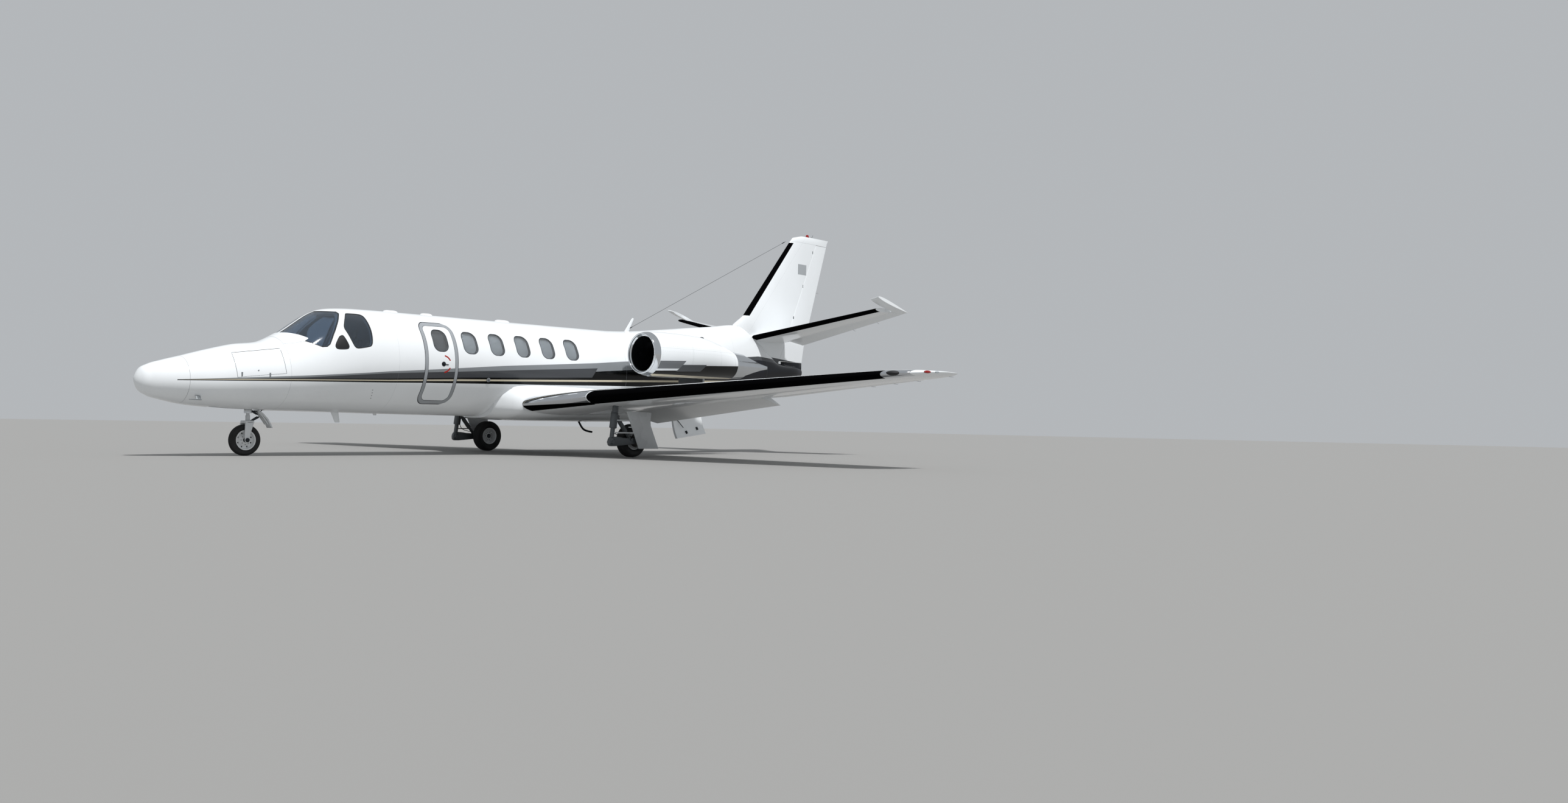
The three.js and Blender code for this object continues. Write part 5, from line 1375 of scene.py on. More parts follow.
def make_doors():
    for name in ("nose_skin", "tail_skin"):
        line_bays(bpy.data.objects[name])
    for side, name in SIDES:
        door = body_shell("nose_door_" + name, *NOSE_BAY, 0, NOSE_WALL)
        carve(door, swing_tool(NOSE_DOOR, side, -1, 0), "INTERSECT")
        finish_piece(door, "nose_door_" + name, BODY_PAINT, ["nose_baggage_door_" + name])
        line_bays(door)
        latches = []
        for station, height in ((1.204, 1.137), (1.571, 1.14)):
            point, normal = skin_point(side, station, height)
            half = Vector((0.004, 0.011, 0.032))
            latches.append(box_piece("plate", point - half, point + half, 0.003))
        lock = stud("lock", side, 1.42, 1.2, 0.011, 0.003)
        latches = joined("nose_door_latches_" + name, latches + [lock])
        finish_piece(latches, "nose_door_" + name, SATIN_ALUMINIUM)

    door = cabin_wall("cabin_door_skin")
    carve(door, door_tool(0), "INTERSECT")
    carve(door, side_tool(door_glass_outline(), 1))
    finish_piece(door, "cabin_door", DOOR_PAINT, ["cabin_door"])
    pane = body_shell("door_pane", 4.05, 4.45, 0.003, 0.056)
    carve(pane, side_tool(door_glass_outline(-0.0012), 1), "INTERSECT")
    carve(pane, body_shell("space", 4.0, 4.5, 0.012, 0.049))
    finish_piece(pane, "cabin_door", CABIN_GLASS, ["door_window"])
    dish = stud("door_dish", 1, *HANDLE, 0.036, 0.003, 36)
    point, normal = skin_point(1, *HANDLE, 0.006)
    lever = rod("lever", point, point + Vector((0.001, 0.085, -0.006)), 0.0065, 12, 0.0045)
    knob = turned("knob", [(0.018, -0.004), (0.018, 0.004), (0.012, 0.008)], point, normal, 24)
    finish_piece(joined("door_handle", [dish, lever, knob]), "cabin_door", DARK_STEEL)

    shell = body_shell("aft_door", 9.27, 10.23, 0, TAIL_WALL)
    carve(shell, swing_tool(AFT_DOOR, 1, 1, 0), "INTERSECT")
    front, hinge = at(*AFT_DOOR["front"]), at(*AFT_DOOR["rear"]) - at(*AFT_DOOR["front"])
    opened = turn_about(front, hinge, AFT_DOOR["open"])
    paint = body_paint("aft_door_topcoat", turned=(tuple(front), tuple(hinge), -AFT_DOOR["open"]))
    finish_piece(moved(shell, opened), "aft_door", paint, ["aft_baggage_door"])
    line_bays(shell, turn_about(front, hinge, -AFT_DOOR["open"]))
    latches = []
    for station in (9.6, 9.9):
        point, _ = skin_point(1, station, 1.44, -TAIL_WALL - 0.008)
        latches.append(box_piece("latch", point - Vector((0.014, 0.02, 0.03)),
                                 point + Vector((0.014, 0.02, 0.028)), 0.006))
    stay, _ = skin_point(1, 9.45, 1.15, -TAIL_WALL)
    latches.append(rod("stay", stay, stay + Vector((-0.02, 0.05, 0.18)), 0.007, 12))
    finish_piece(moved(joined("aft_door_latches", latches), opened), "aft_door", DARK_STEEL)


def swollen(obj, cap, voxel=0.014):
    """Fills a plain form like a cushion with cloth under pressure, and holds each point near its start."""
    modify(obj, "REMESH", mode="VOXEL", voxel_size=voxel)
    start = [vertex.co.copy() for vertex in obj.data.vertices]
    only(obj)
    cloth = obj.modifiers.new("cloth", "CLOTH")
    cloth.settings.use_pressure = True
    cloth.settings.uniform_pressure_force = 4
    cloth.settings.effector_weights.gravity = 0
    for step in range(1, 13):
        bpy.context.scene.frame_set(step)
    bpy.ops.object.modifier_apply(modifier="cloth")
    bpy.context.scene.frame_set(1)
    for vertex, first in zip(obj.data.vertices, start):
        off = vertex.co - first
        if off.length > cap:
            vertex.co = first + off * (cap / off.length)
    return modify(obj, "SUBSURF", levels=1, render_levels=1)


def cushion_form(name, size):
    """A pad's plain form before it is filled: a box with soft edges."""
    half = [s / 2 for s in size]
    return box_piece(name, Vector((-half[0], -half[1], -half[2])), Vector(half), min(half) * 0.75, 4)


def laid(obj, name, place, tilt=0.0, turn=0.0):
    """A copy of a cushion, tilted about the line across and turned about the upright."""
    how = Matrix.Translation(place) @ Matrix.Rotation(turn, 4, "Z") @ Matrix.Rotation(tilt, 4, "X")
    return moved(copied(obj, name), how)


SEATS = [
    ("pilot_seat", 0.34, 2.79, 1), ("copilot_seat", -0.34, 2.79, 1),
    ("cabin_seat_front_left", 0.35, 5.33, -1), ("cabin_seat_front_right", -0.35, 5.33, -1),
    ("cabin_seat_rear_left", 0.35, 5.88, 1), ("cabin_seat_rear_right", -0.35, 5.88, 1),
]
SEAT_LEAN = -0.2


def make_seats():
    shell_skin = plain_material("seat_shell_plastic", "#4b4a48", (0.45, 0.6), 0.1, 30.0)
    pad = swollen(cushion_form("pad", (0.42, 0.39, 0.07)), 0.014)
    back = swollen(cushion_form("back", (0.42, 0.06, 0.5)), 0.012)
    head = swollen(cushion_form("head", (0.21, 0.05, 0.15)), 0.008, 0.012)
    for name, across, front, facing in SEATS:
        def seat_at(across_off, along, height):
            return at(across + across_off, front + facing * along, height)

        turn = 0 if facing > 0 else math.pi
        cushions = [laid(pad, "pad", seat_at(0, 0.225, 1.2), 0, turn),
                    laid(back, "back", seat_at(0, 0.505, 1.48), SEAT_LEAN, turn),
                    laid(head, "head", seat_at(0, 0.575, 1.86), SEAT_LEAN / 2, turn)]
        soft = joined(name + "_cushions", cushions)
        finish_piece(soft, "airframe", LEATHER, [name], degrees=60)
        base = [(0.0, 1.13), (0.0, 1.165), (0.03, 1.175), (0.445, 1.175), (0.52, 1.42), (0.585, 1.76),
                (0.61, 1.77), (0.628, 1.74), (0.57, 1.3), (0.53, 1.13)]
        tray = loft("tray", [[seat_at(off, u, v) for u, v in base] for off in (-0.21, 0.21)])
        modify(tray, "BEVEL", width=0.01, segments=2)
        low, high = sorted((front + facing * 0.12, front + facing * 0.45))
        inboard = across - math.copysign(0.06, across)
        foot = box_piece("foot", at(inboard - 0.09, low, 0.8405), at(inboard + 0.09, high, 1.14), 0.012)
        bars = []
        for start, end, edge in (((-0.03, 0.57, 1.74), (0.03, 0.6, 1.83), 0.004),
                                 ((-0.232, 0.1, 1.335), (-0.185, 0.46, 1.375), 0.012),
                                 ((-0.215, 0.4, 1.17), (-0.195, 0.44, 1.345), 0.004)):
            a, b = seat_at(*start), seat_at(*end)
            low_corner = Vector([min(p, q) for p, q in zip(a, b)])
            bars.append(box_piece("bar", low_corner, a + b - low_corner, edge))
        finish_piece(joined(name + "_frame", [tray, foot] + bars), "airframe", shell_skin, [name])
    for obj in (pad, back, head):
        bpy.data.objects.remove(obj)


def make_interior():
    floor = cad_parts["cabin_floor"]
    floor.data.materials.clear()
    floor.data.materials.append(CARPET)
    rings = body_rings(2.09, 2.4, 0.05, 0.0715)
    shield = loft("glareshield", rings)
    carve(shield, box_piece("shield_box", at(-0.66, 2.09, 1.535), at(0.66, 2.4, 1.578), 0.012), "INTERSECT")
    face = loft("face", body_rings(2.3, 2.345, 0.02, 0.0715))
    carve(face, box_piece("face_box", at(-0.66, 2.301, 1.08), at(0.66, 2.344, 1.53), 0.006), "INTERSECT")
    pedestal = box_piece("pedestal", at(-0.12, 2.335, 0.8405), at(0.12, 2.7, 1.19), 0.02)
    levers = [box_piece("lever", at(x - 0.008, 2.45, 1.18), at(x + 0.008, 2.47, 1.27), 0.005)
              for x in (-0.05, -0.02, 0.03, 0.06)]
    finish_piece(joined("panel_and_glareshield", [shield, face, pedestal] + levers), "airframe", PLASTIC,
                 ["instrument_panel"])
    screens = []
    for places, half, low in (((-0.45, -0.27, 0.27, 0.45), 0.075, 1.3), ((-0.085, 0.085), 0.07, 1.22)):
        screens += [box_piece("screen", at(x - half, 2.343, low), at(x + half, 2.352, 1.46), 0.003)
                    for x in places]
    dial = [(0.034, 0), (0.034, 0.006), (0.03, 0.008)]
    screens += [turned("dial", dial, at(x, 2.343, 1.21), AFT, 24) for x in (-0.51, -0.4, -0.3, 0.3, 0.4, 0.51)]
    finish_piece(joined("panel_instruments", screens), "airframe",
                 plain_material("instrument_glass", "#07090c", (0.05, 0.1), 0.005, 10.0))
    for x, name in ((0.34, "left"), (-0.34, "right")):
        column = rod("column", at(x, 2.335, 1.2), at(x, 2.62, 1.24), 0.016, 16)
        grip = tube("grip", [at(x + off, station, height) for off, station, height in (
            (-0.15, 2.6, 1.33), (-0.15, 2.61, 1.25), (-0.07, 2.62, 1.235),
            (0.07, 2.62, 1.235), (0.15, 2.61, 1.25), (0.15, 2.6, 1.33))], 0.014)
        finish_piece(joined("control_wheel_" + name, [column, grip]), "airframe", PLASTIC)
    finish_piece(windscreen_foot(), "airframe", WHITE_PAINT)


def windscreen_foot():
    """The white fairing over the windscreen's foot."""
    sheet = body_shell("windscreen_foot", 1.865, 2.25, -0.003, 0.012)
    outline = [(1.866, 1.6), (1.866, 1.78), (1.93, 1.79), (2.02, 1.775), (2.10, 1.745), (2.178, 1.7),
               (2.178, 1.69), (2.121, 1.65), (2.0, 1.62)]
    return carve(sheet, prism("foot_outline", outline, -0.62, 0.62), "INTERSECT")


make_cockpit_glass()
make_cabin_windows()
make_doors()
make_seats()
make_interior()


# Landing gear

def ring_turned(name, profile, start, direction, sides=64):
    """A closed profile of (radius, distance) points turned into a ring."""
    upright = Vector(UP).rotation_difference(Vector(direction).normalized())
    points, faces, count = [], [], len(profile)
    for i in range(sides):
        angle = 2 * math.pi * (i + 0.5) / sides
        for radius, distance in profile:
            off = Vector((radius * math.cos(angle), radius * math.sin(angle), distance))
            points.append(start + upright @ off)
        for j in range(count):
            a, b = i * count, (i + 1) % sides * count
            k = (j + 1) % count
            faces.append((a + j, a + k, b + k, b + j))
    return mesh_object(name, points, faces)


def tyre_profile(inner, outer, half, grooves):
    """A tyre's section: beads, round walls and shoulders, and a tread with grooves round it."""
    depth = outer - inner
    wall = [(inner + depth * rise, half * wide) for rise, wide in (
        (0, 0.7), (0.1, 0.8), (0.3, 0.95), (0.5, 1), (0.7, 0.96), (0.85, 0.84), (0.95, 0.66))]
    tread = [(outer - depth * 0.012, half * 0.5)]
    for groove in grooves:
        place, width = groove * half, 0.0035
        tread += [(outer - depth * 0.01, place + width), (outer - 0.005, place + width * 0.7),
                  (outer - 0.005, place - width * 0.7), (outer - depth * 0.01, place - width)]
    mirror = [(r, -d) for r, d in reversed(wall)]
    return wall + tread + [(outer - depth * 0.012, -half * 0.5)] + mirror


def rim_profile(radius, half, bore, dish):
    """A wheel's section: flanges at the beads, and a web dished in from the outboard face."""
    return [(bore, -half * 0.55), (radius * 0.35, -half * 0.6), (radius - 0.03, -half * 0.62),
            (radius - 0.016, -half * 0.95), (radius - 0.002, -half), (radius - 0.002, half),
            (radius - 0.016, half * 0.95), (radius - 0.026, half * (0.62 - dish)),
            (radius * 0.62, half * (0.5 - dish)), (radius * 0.36, half * 0.62), (bore, half * 0.66)]


def wheel_piece(name, centre, radius, half, bore, side, holes, hole_at, hole_radius, dish):
    """A wheel with its ring of holes; side is the way its dished face looks."""
    way = (side, 0, 0)
    wheel = ring_turned(name, rim_profile(radius, half, bore, dish), centre, way, 96)
    tools = []
    for i in range(holes):
        angle = 2 * math.pi * (i + 0.5) / holes
        spot = centre + Vector((0, math.cos(angle), math.sin(angle))) * hole_at
        tools.append(rod("hole", spot - Vector((0.2, 0, 0)), spot + Vector((0.2, 0, 0)), hole_radius, 20))
    return carve(wheel, tools)


def bolt_ring(centre, side, count, radius, out, size, length=0.008):
    bolts = []
    for i in range(count):
        angle = 2 * math.pi * i / count
        spot = centre + Vector((side * out, math.cos(angle) * radius, math.sin(angle) * radius))
        bolts.append(rod("bolt", spot, spot + Vector((side * length, 0, 0)), size, 6))
    return bolts


def make_nose_gear():
    chrome = bare_metal("chromed_piston", "#d8dbde", (0.05, 0.1))
    centre = at(0, *NOSE_AXLE)
    section = tyre_profile(0.146, 0.222, 0.056, (0.26, 0, -0.26))
    tyre = ring_turned("nose_tyre_rubber", section, centre, ACROSS, 128)
    finish_piece(tyre, "nose_wheel", RUBBER, ["nose_tyre"])
    wheel = wheel_piece("nose_rim", centre, 0.1455, 0.05, 0.0186, 1, 8, 0.102, 0.0115, 0.5)
    finish_piece(wheel, "nose_wheel", WHEEL_ENAMEL, ["nose_wheel"])
    bolts = bolt_ring(centre, 1, 8, 0.062, 0.026, 0.005) + bolt_ring(centre, -1, 8, 0.062, 0.026, 0.005)
    section = [(0.0187, 0.03), (0.034, 0.03), (0.032, 0.038), (0.0187, 0.04)]
    hub = ring_turned("hub", section, centre, ACROSS, 40)
    section = [(0.022, -0.02), (0.118, -0.02), (0.118, -0.013), (0.022, -0.013)]
    web = ring_turned("web", section, centre, ACROSS)
    finish_piece(joined("nose_wheel_bolts", bolts + [hub, web]), "nose_wheel", DARK_STEEL)

    profile = [(0.031, 0), (0.031, 0.09), (0.024, 0.1), (0.024, 0.1237)]
    stem = turned("stem", profile, at(0, NOSE_LEG, 0.48), UP)
    crown = box_piece("crown", at(-0.092, 1.5, 0.458), at(0.092, 1.622, 0.5), 0.014, 4)
    arms = []
    for low, high in ((0.067, 0.092), (-0.092, -0.067)):
        outline = [(1.5, 0.482), (1.622, 0.482), (1.6, 0.41), (1.565, 0.3), (1.556, 0.205), (1.545, 0.192),
                   (1.505, 0.192), (1.494, 0.205), (1.49, 0.3), (1.492, 0.41)]
        arm = prism("arm", rounded(outline, 1), low, high)
        modify(arm, "BEVEL", width=0.006, segments=3, limit_method="ANGLE")
        arms.append(arm)
    finish_piece(joined("nose_fork_casting", [stem, crown] + arms), "nose_steer", GEAR_ENAMEL, ["nose_fork"])
    axle = rod("axle", at(-0.1, *NOSE_AXLE), at(0.1, *NOSE_AXLE), 0.0176, 32)
    profile = [(0.03, 0), (0.03, 0.008), (0.022, 0.013)]
    caps = [turned("cap", profile, at(side * 0.091, *NOSE_AXLE), (side, 0, 0), 32) for side in (1, -1)]
    finish_piece(joined("nose_axle", [axle] + caps), "nose_steer", DARK_STEEL, ["nose_fork"])
    lower = [prism("link", [(1.605, 0.478), (1.61, 0.5), (1.708, 0.562), (1.72, 0.55), (1.716, 0.538)],
                   x - 0.006, x + 0.006) for x in (-0.022, 0.022)]
    apex = rod("apex", at(-0.032, 1.711, 0.55), at(0.032, 1.711, 0.55), 0.009, 20)
    finish_piece(joined("nose_torque_link", lower + [apex]), "nose_steer", DARK_STEEL, ["nose_fork"])
    upper = [prism("link", [(1.61, 0.655), (1.6, 0.636), (1.69, 0.586), (1.702, 0.582), (1.706, 0.594)],
                   x - 0.006, x + 0.006) for x in (-0.016, 0.016)]
    finish_piece(joined("nose_upper_link", upper), "airframe", DARK_STEEL)

    leg = turned("leg", [(0.05, 0), (0.052, 0.006), (0.052, 0.05), (0.04, 0.06), (0.04, 0.14), (0.046, 0.146),
                         (0.046, 0.17), (0.04, 0.176), (0.04, 0.324)], at(0, NOSE_LEG, 0.6045), UP)
    strut = rod("strut", at(0, NOSE_LEG, 0.7), at(0, 1.715, 0.905), 0.019, 20)
    pin = rod("pin", at(-0.11, NOSE_LEG, 0.76), at(0.11, NOSE_LEG, 0.76), 0.021, 24)
    leg = joined("nose_leg_tube", [leg, strut, pin])
    finish_piece(leg, "airframe", GEAR_ENAMEL, ["nose_gear_leg"])
    section = [(0.0525, 0.008), (0.0545, 0.008), (0.0545, 0.022), (0.0525, 0.022)]
    sleeve = ring_turned("nose_leg_sleeve", section, at(0, NOSE_LEG, 0.6045), UP, 48)
    finish_piece(sleeve, "airframe", chrome)
    line = tube("nose_steering_line", [
        at(0.03, 1.59, 0.78), at(0.04, 1.64, 0.74), at(0.045, 1.71, 0.7), at(0.04, 1.76, 0.66),
        at(0.03, 1.74, 0.62), at(0.02, 1.66, 0.63), at(0.015, 1.62, 0.64)], 0.006, 12)
    finish_piece(line, "airframe", DARK_STEEL)
    outline = [(1.69, 0.652), (1.765, 0.603), (1.835, 0.529), (1.88, 0.455), (1.905, 0.4), (1.888, 0.396),
               (1.86, 0.45), (1.818, 0.52), (1.75, 0.588), (1.676, 0.64)]
    skin = prism("door", outline, -0.075, 0.075)
    modify(skin, "BEVEL", width=0.002, segments=2, limit_method="ANGLE", angle_limit=0.8)
    ribs = [prism("rib", [(1.70, 0.63), (1.76, 0.578), (1.812, 0.51), (1.85, 0.45), (1.84, 0.444), (1.8, 0.5),
                          (1.75, 0.565), (1.69, 0.618)], x - 0.004, x + 0.004) for x in (-0.05, 0.05)]
    tie = rod("tie", at(0, 1.618, 0.637), at(0, 1.76, 0.59), 0.009, 16)
    door = joined("nose_gear_door_skin", [skin, tie] + ribs)
    finish_piece(door, "airframe", GEAR_ENAMEL, ["nose_gear_door"])


def make_main_gear():
    leg_metal = plain_material("gear_steel_grey", "#5f6366", (0.35, 0.55), 0.08, 12.0, metal=0.4, mottle=0.3)
    disc = bare_metal("brake_disc_steel", "#6d6a66", (0.3, 0.5), 20.0)
    centre = at(1.98, *MAIN_AXLE)
    section = tyre_profile(0.15, 0.272, 0.095, (0.36, 0.12, -0.12, -0.36))
    tyre = ring_turned("tyre", section, centre, ACROSS, 128)
    wheel = wheel_piece("wheel", centre, 0.1495, 0.082, 0.0268, -1, 10, 0.104, 0.012, 0.55)
    cap = turned("cap", [(0.04, 0.05), (0.04, 0.06), (0.03, 0.072)], centre, (-1, 0, 0), 40)
    bolts = joined("bolts", bolt_ring(centre, -1, 10, 0.066, 0.045, 0.006) + [cap])

    def leg_at(station, height, across=MAIN_LEG):
        return at(across, station, height)

    trunnion = box_piece("trunnion", leg_at(6.53, 0.86, MAIN_LEG - 0.056),
                         leg_at(6.655, 0.9245, MAIN_LEG + 0.056), 0.014)
    head = leg_at(6.585, 0.88)
    down = leg_at(6.49, 0.23) - head
    profile = [(0.05, 0), (0.05, 0.16), (0.058, 0.17), (0.06, 0.2), (0.06, 0.4), (0.055, 0.41)]
    upper = turned("upper", profile, head, down)
    lower = turned("lower", [(0.036, 0.41), (0.036, 0.56), (0.05, 0.57), (0.05, 0.66)], head, down)
    profile = [(0.03, 0), (0.03, 0.1), (0.036, 0.105), (0.036, 0.3), (0.024, 0.31), (0.024, 0.46)]
    oleo = turned("oleo", profile, leg_at(6.6, 0.65), leg_at(6.9, 0.29) - leg_at(6.6, 0.65), 32)
    outline = [(6.44, 0.2), (6.5, 0.18), (6.75, 0.2), (7.06, 0.227), (7.105, 0.25), (7.105, 0.298),
               (7.06, 0.316), (6.75, 0.316), (6.62, 0.335), (6.5, 0.34), (6.44, 0.3)]
    arm = prism("arm", rounded(outline, 1), MAIN_LEG - 0.034, MAIN_LEG + 0.034)
    modify(arm, "BEVEL", width=0.012, segments=3, limit_method="ANGLE")
    ears = [rod("ear", leg_at(*place, MAIN_LEG - half), leg_at(*place, MAIN_LEG + half), radius, 24)
            for place, half, radius in (((6.49, 0.25), 0.062, 0.03), ((6.9, 0.29), 0.05, 0.022),
                                        ((6.59, 0.66), 0.062, 0.022))]
    leg = joined("main_leg", [trunnion, upper, lower, oleo, arm] + ears)
    axle = rod("axle", leg_at(*MAIN_AXLE, 1.91), leg_at(*MAIN_AXLE, MAIN_LEG + 0.04), 0.0258, 32)
    section = [(0.03, 0), (0.085, 0), (0.085, 0.006), (0.105, 0.006), (0.105, 0.014), (0.07, 0.014),
               (0.07, 0.034), (0.03, 0.034)]
    stack = ring_turned("brake", section, at(2.07, *MAIN_AXLE), ACROSS)
    hose = tube("hose", [leg_at(*place) for place in (
        (6.55, 0.74, 2.09), (6.53, 0.6, 2.078), (6.53, 0.45, 2.078),
        (6.62, 0.36, 2.09), (6.85, 0.34, 2.1), (7.0, 0.335, 2.098))], 0.006, 12)
    outline = [(6.73, 0.745), (7.27, 0.735), (7.252, 0.6), (7.26, 0.52), (7.44, 0.143), (7.01, 0.143),
               (6.83, 0.542)]
    skin = prism("gear_door", outline, 2.225, 2.243)
    modify(skin, "BEVEL", width=0.004, segments=2, limit_method="ANGLE")
    ribs = [prism("rib", [(6.8, z), (7.22, z - 0.006), (7.22, z - 0.022), (6.8, z - 0.016)], 2.212, 2.226)
            for z in (0.7, 0.6, 0.5)]
    rods = [rod("door_rod", leg_at(front, height, 2.2), leg_at(6.9, height, 2.23), 0.011, 16)
            for front, height in ((6.56, 0.6), (6.52, 0.4))]
    door = joined("gear_door", [skin] + ribs + rods)
    for obj, name, body, material, node, slot, sided in (
            (tyre, "main_tyre_rubber", "main_wheel", RUBBER, "main_tyre", "tyre_rubber", True),
            (wheel, "main_rim", "main_wheel", WHEEL_ENAMEL, "main_wheel", "polished_metal", True),
            (bolts, "main_wheel_bolts", "main_wheel", DARK_STEEL, None, None, True),
            (leg, "main_leg_castings", "airframe", leg_metal, "main_gear_leg", "gear_steel", False),
            (axle, "main_axle", "airframe", SATIN_ALUMINIUM, "main_gear_leg", None, False),
            (stack, "main_brake", "airframe", disc, None, None, False),
            (hose, "main_brake_line", "airframe", RUBBER, None, None, False),
            (door, "main_gear_door_skin", "airframe", GEAR_ENAMEL, "main_gear_door", "white_skin", False)):
        pair(obj, name, body, material, node, sided)


# Small fittings

def dome(name, front, rear, half, height):
    """A low rounded housing on the crown of the body."""
    rings = []
    for share in spread(0, 1, 14):
        station = front + (rear - front) * share
        grow = math.sqrt(max(1 - (2 * share - 1) ** 4, 0.001))
        _, top, *_ = smooth_row(BODY, station)
        ring = []
        for angle in spread(0, math.pi, 12):
            across = half * grow * math.cos(angle)
            rise = (height + 0.008) * grow * math.sin(angle)
            ring.append(at(across, station, top - 0.008 - across ** 2 + rise))
        rings.append(ring)
    return loft(name, rings)


def blade(name, foot, tip, long_foot, long_tip, thick):
    """A thin streamlined blade from its foot to its tip."""
    rings = []
    for place, long in ((foot, long_foot), (foot.lerp(tip, 0.93), long_foot + (long_tip - long_foot) * 0.93),
                        (tip, long_tip * 0.8)):
        half = thick / 4 if place is tip else thick / 2
        ring = []
        for angle in spread(0, 2 * math.pi, 20)[:-1]:
            away = half * math.sin(angle) * (1.1 - 0.35 * math.cos(angle))
            ring.append(place + Vector((away, long / 2 * math.cos(angle), 0)))
        rings.append(ring)
    return loft(name, rings)


def ball(name, centre, size, sides=24):
    rings = []
    for share in spread(0.03, 0.97, 12):
        angle = math.pi * share
        rings.append([centre + Vector((size[0] * math.sin(angle) * math.cos(2 * math.pi * i / sides),
                                       -size[1] * math.cos(angle),
                                       size[2] * math.sin(angle) * math.sin(2 * math.pi * i / sides)))
                      for i in range(sides)])
    return loft(name, rings)


def wick(foot, tip):
    """A thin static discharge wick."""
    return rod("wick", foot, tip, 0.0022, 8, 0.0015)


def make_aerials():
    domes = [dome("dome", 3.67, 3.93, 0.055, 0.03), dome("dome", 4.33, 4.55, 0.05, 0.03),
             dome("dome", 5.75, 6.05, 0.055, 0.034)]
    aerial = blade("aerial", at(0, 8.66, 2.22), at(0, 8.82, 2.487), 0.11, 0.05, 0.014)
    belly = blade("belly", at(0, 2.9, 0.65), at(0, 2.95, 0.489), 0.13, 0.08, 0.014)
    small = blade("small", at(0, 3.57, 0.64), at(0, 3.575, 0.607), 0.07, 0.05, 0.012)
    finish_piece(joined("aerials_and_domes", domes + [aerial, belly, small]), "airframe", WHITE_PAINT)

    wire = tube("wire", [at(0, station, height) for station, height in (
        (8.72, 2.285), (9.79, 2.812), (10.86, 3.339), (11.93, 3.866), (13.02, 4.4))], 0.0028, 8)
    ends = [rod("insulator", at(0, 8.74, 2.295), at(0, 8.8, 2.325), 0.008, 12),
            rod("insulator", at(0, 12.9, 4.343), at(0, 12.97, 4.376), 0.008, 12)]
    finish_piece(joined("aerial_wire", [wire] + ends), "airframe", DARK_STEEL)


def make_lamps():
    red = lamp_glass("red_lamp_glass", "#b8140f")
    beacon = turned("beacon", [(0.034, -0.03), (0.034, 0.02), (0.03, 0.04), (0.018, 0.055), (0.004, 0.06)],
                    at(0, 13.7, 4.56), UP, 32)
    port = ball("port", at(7.905, 7.03, 1.318), (0.03, 0.07, 0.02))
    finish_piece(joined("red_lamps", [beacon, port]), "airframe", red)
    green = ball("green_lamp", at(-7.905, 7.03, 1.318), (0.03, 0.07, 0.02))
    finish_piece(green, "airframe", lamp_glass("green_lamp_glass", "#0f8a4a"))
    strobes = [ball("strobe", at(side * 7.925, 7.22, 1.322), (0.022, 0.05, 0.016)) for side in (1, -1)]
    finish_piece(joined("clear_lamps", strobes), "airframe", lamp_glass("clear_lamp_glass", "#dfe6ea"))


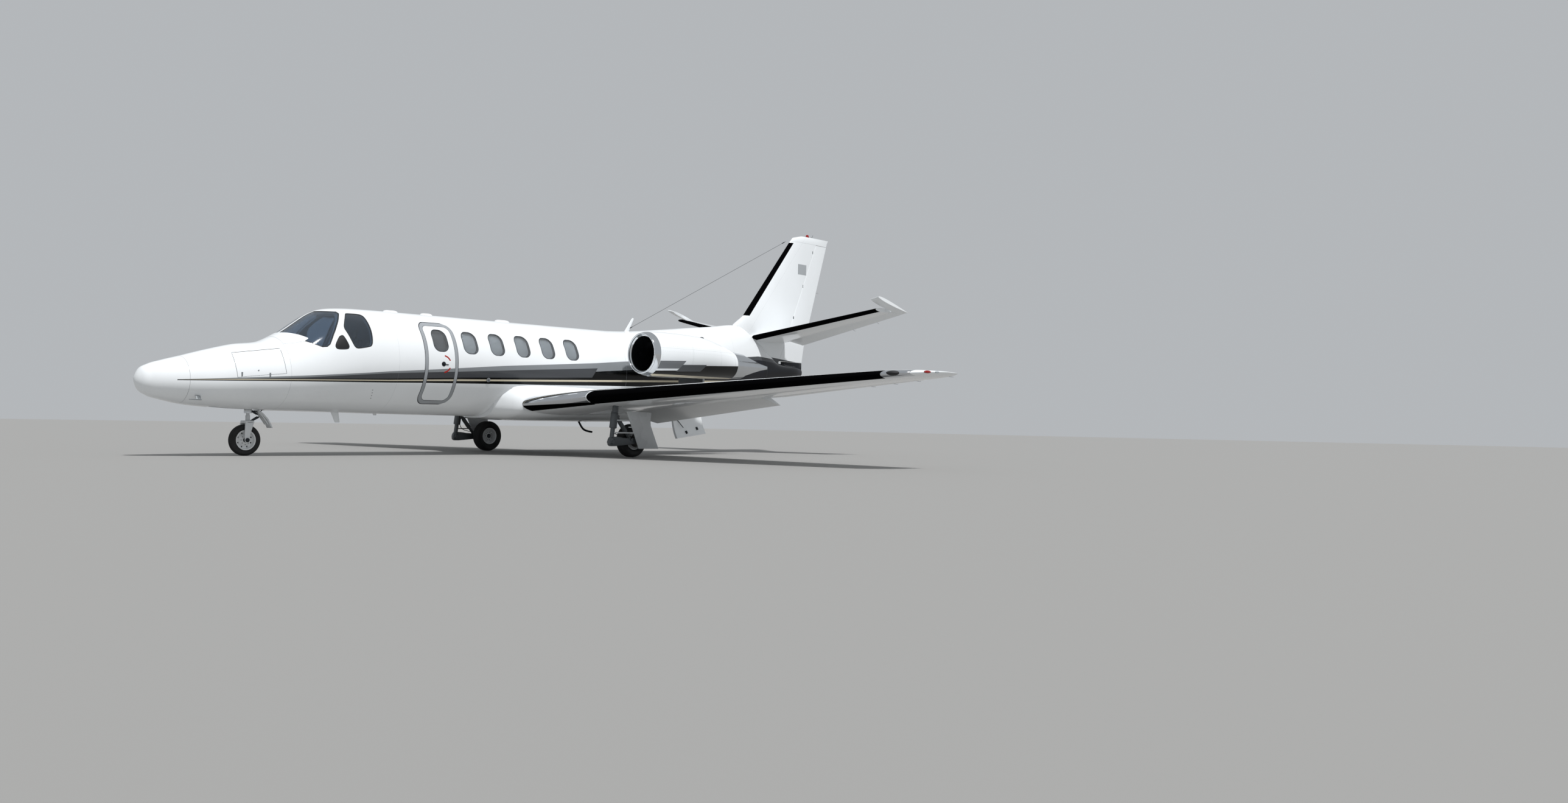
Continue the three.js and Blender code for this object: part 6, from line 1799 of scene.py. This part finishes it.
def make_fittings():
    whip = rod("whip_aerial", at(0, 13.84, 4.55), at(0, 13.88, 4.63), 0.004, 10, 0.002)
    finish_piece(whip, "airframe", DARK_STEEL)
    for side, name in SIDES:
        foot, normal = skin_point(side, 0.7, 0.83, -0.01)
        head = foot + normal * 0.085 + Vector((0, -0.01, 0))
        mast = blade("mast", foot, head, 0.075, 0.06, 0.014)
        pitot = joined("pitot_" + name, [mast, rod("probe", head + Vector((0, 0.035, 0)),
                                                   head - Vector((0, 0.13, 0)), 0.011, 20, 0.006)])
        finish_piece(pitot, "airframe", SATIN_ALUMINIUM)
        ports = [stud("port", side, 3.14 + 0.01 * i, 0.98 - 0.04 * i, 0.009, 0.0015, 16) for i in range(4)]
        finish_piece(joined("static_ports_" + name, ports), "airframe", SATIN_ALUMINIUM)
        light = stud("body_lamp_" + name, side, 5.11, 1.204, 0.035, 0.012, 32)
        finish_piece(light, "airframe", SATIN_ALUMINIUM)
        bump = ball("lamp_fairing_" + name, at(side * 7.61, 6.66, 1.29), (0.1, 0.09, 0.035))
        finish_piece(bump, "airframe", PLASTIC)
        wicks = []
        for across in (6.3, 6.75, 7.2):
            _, _, _, station, height, _ = straight_row(WING, across)
            wicks.append(wick(at(side * across, station - 0.004, height),
                              at(side * (across + 0.01), station + 0.11, height - 0.004)))
        finish_piece(joined("aileron_wicks_" + name, wicks), "aileron_" + name, DARK_STEEL)
        tip = wick(at(side * 7.78, 7.69, 1.281), at(side * 7.8, 7.8, 1.281))
        finish_piece(joined("wing_wicks_" + name, [tip]), "airframe", DARK_STEEL)
        tails = [wick(at(side * across, 13.3, height_on_elevator(across)),
                      at(side * across, 13.39, height_on_elevator(across) - 0.03)) for across in (1.6, 2.2)]
        finish_piece(joined("elevator_wicks_" + name, tails), "elevator_" + name, DARK_STEEL)
    drain = tube("drain_mast", [at(0.02, station, height) for station, height in (
        (7.54, 0.62), (7.6, 0.53), (7.66, 0.43), (7.75, 0.4), (7.88, 0.385))], 0.018, 12)
    finish_piece(drain, "airframe", DARK_STEEL)
    foot_rows = [(12.93, 0.006, 1.82), (12.98, 0.045, 1.8), (13.2, 0.05, 1.78), (13.45, 0.034, 1.76),
                 (13.56, 0.02, 1.74), (13.575, 0.006, 1.74)]
    foot = loft("rudder_foot", [[
        at(-half, s, low), at(half, s, low), at(half, s, 1.865), at(half * 0.75, s, 1.8815),
        at(-half * 0.75, s, 1.8815), at(-half, s, 1.865)] for s, half, low in foot_rows])
    finish_piece(foot, "airframe", plain_paint("black_topcoat", FOOT_BLACK))
    for height in (2.6, 3.4):
        rudder_wick(height)
    intake = [ball("box", at(side * 1.1, 9.52, 2.128), (0.03, 0.05, 0.022)) for side in (1, -1)]
    finish_piece(joined("cowl_vents", intake), "airframe", PLASTIC)
    drains = [ball("drain", at(side * 1.37, 7.99, 1.385), (0.03, 0.06, 0.022)) for side in (1, -1)]
    finish_piece(joined("lip_drains", drains), "airframe", SATIN_ALUMINIUM)


def height_on_elevator(across):
    """Height of the drooped elevator's trailing edge at a place across."""
    frame_at = elevator_frame(across)
    turn = math.radians(ELEVATOR["droop"])
    return frame_at["hinge"].z - frame_at["length"] * math.sin(turn) * 0.98


def rudder_wick(height):
    trail = fin_section(height)[1]
    made = wick(trail + Vector((0, -0.006, 0)), trail + Vector((0, 0.09, 0.008)))
    finish_piece(joined(f"rudder_wick_{int(height * 10)}", [made]), "rudder", DARK_STEEL)


make_nose_gear()
make_main_gear()
make_aerials()
make_lamps()
make_fittings()


# Floor and light

def make_stage():
    bpy.ops.object.select_all(action="DESELECT")
    bpy.ops.mesh.primitive_plane_add(size=160, location=(0, 0, -0.002))
    floor = bpy.context.object
    floor.name = "floor"
    material, _, shader = new_material("pale_floor")
    shader.inputs["Base Color"].default_value = hex_colour("#959492")
    shader.inputs["Roughness"].default_value = 0.8
    floor.data.materials.append(material)
    world = bpy.data.worlds.new("studio")
    world.use_nodes = True
    sky = world.node_tree.nodes["Background"]
    sky.inputs["Color"].default_value = hex_colour("#e2e6ea")
    sky.inputs["Strength"].default_value = 0.6
    bpy.context.scene.world = world
    light = bpy.data.lights.new("key", "SUN")
    light.energy = 3.1
    light.angle = 0.06
    lamp = bpy.data.objects.new("key", light)
    bpy.context.collection.objects.link(lamp)
    lamp.rotation_euler = Vector((-4.5, 0.8, -9)).to_track_quat("-Z", "Y").to_euler()
    bpy.context.scene.view_settings.view_transform = "Standard"


make_stage()
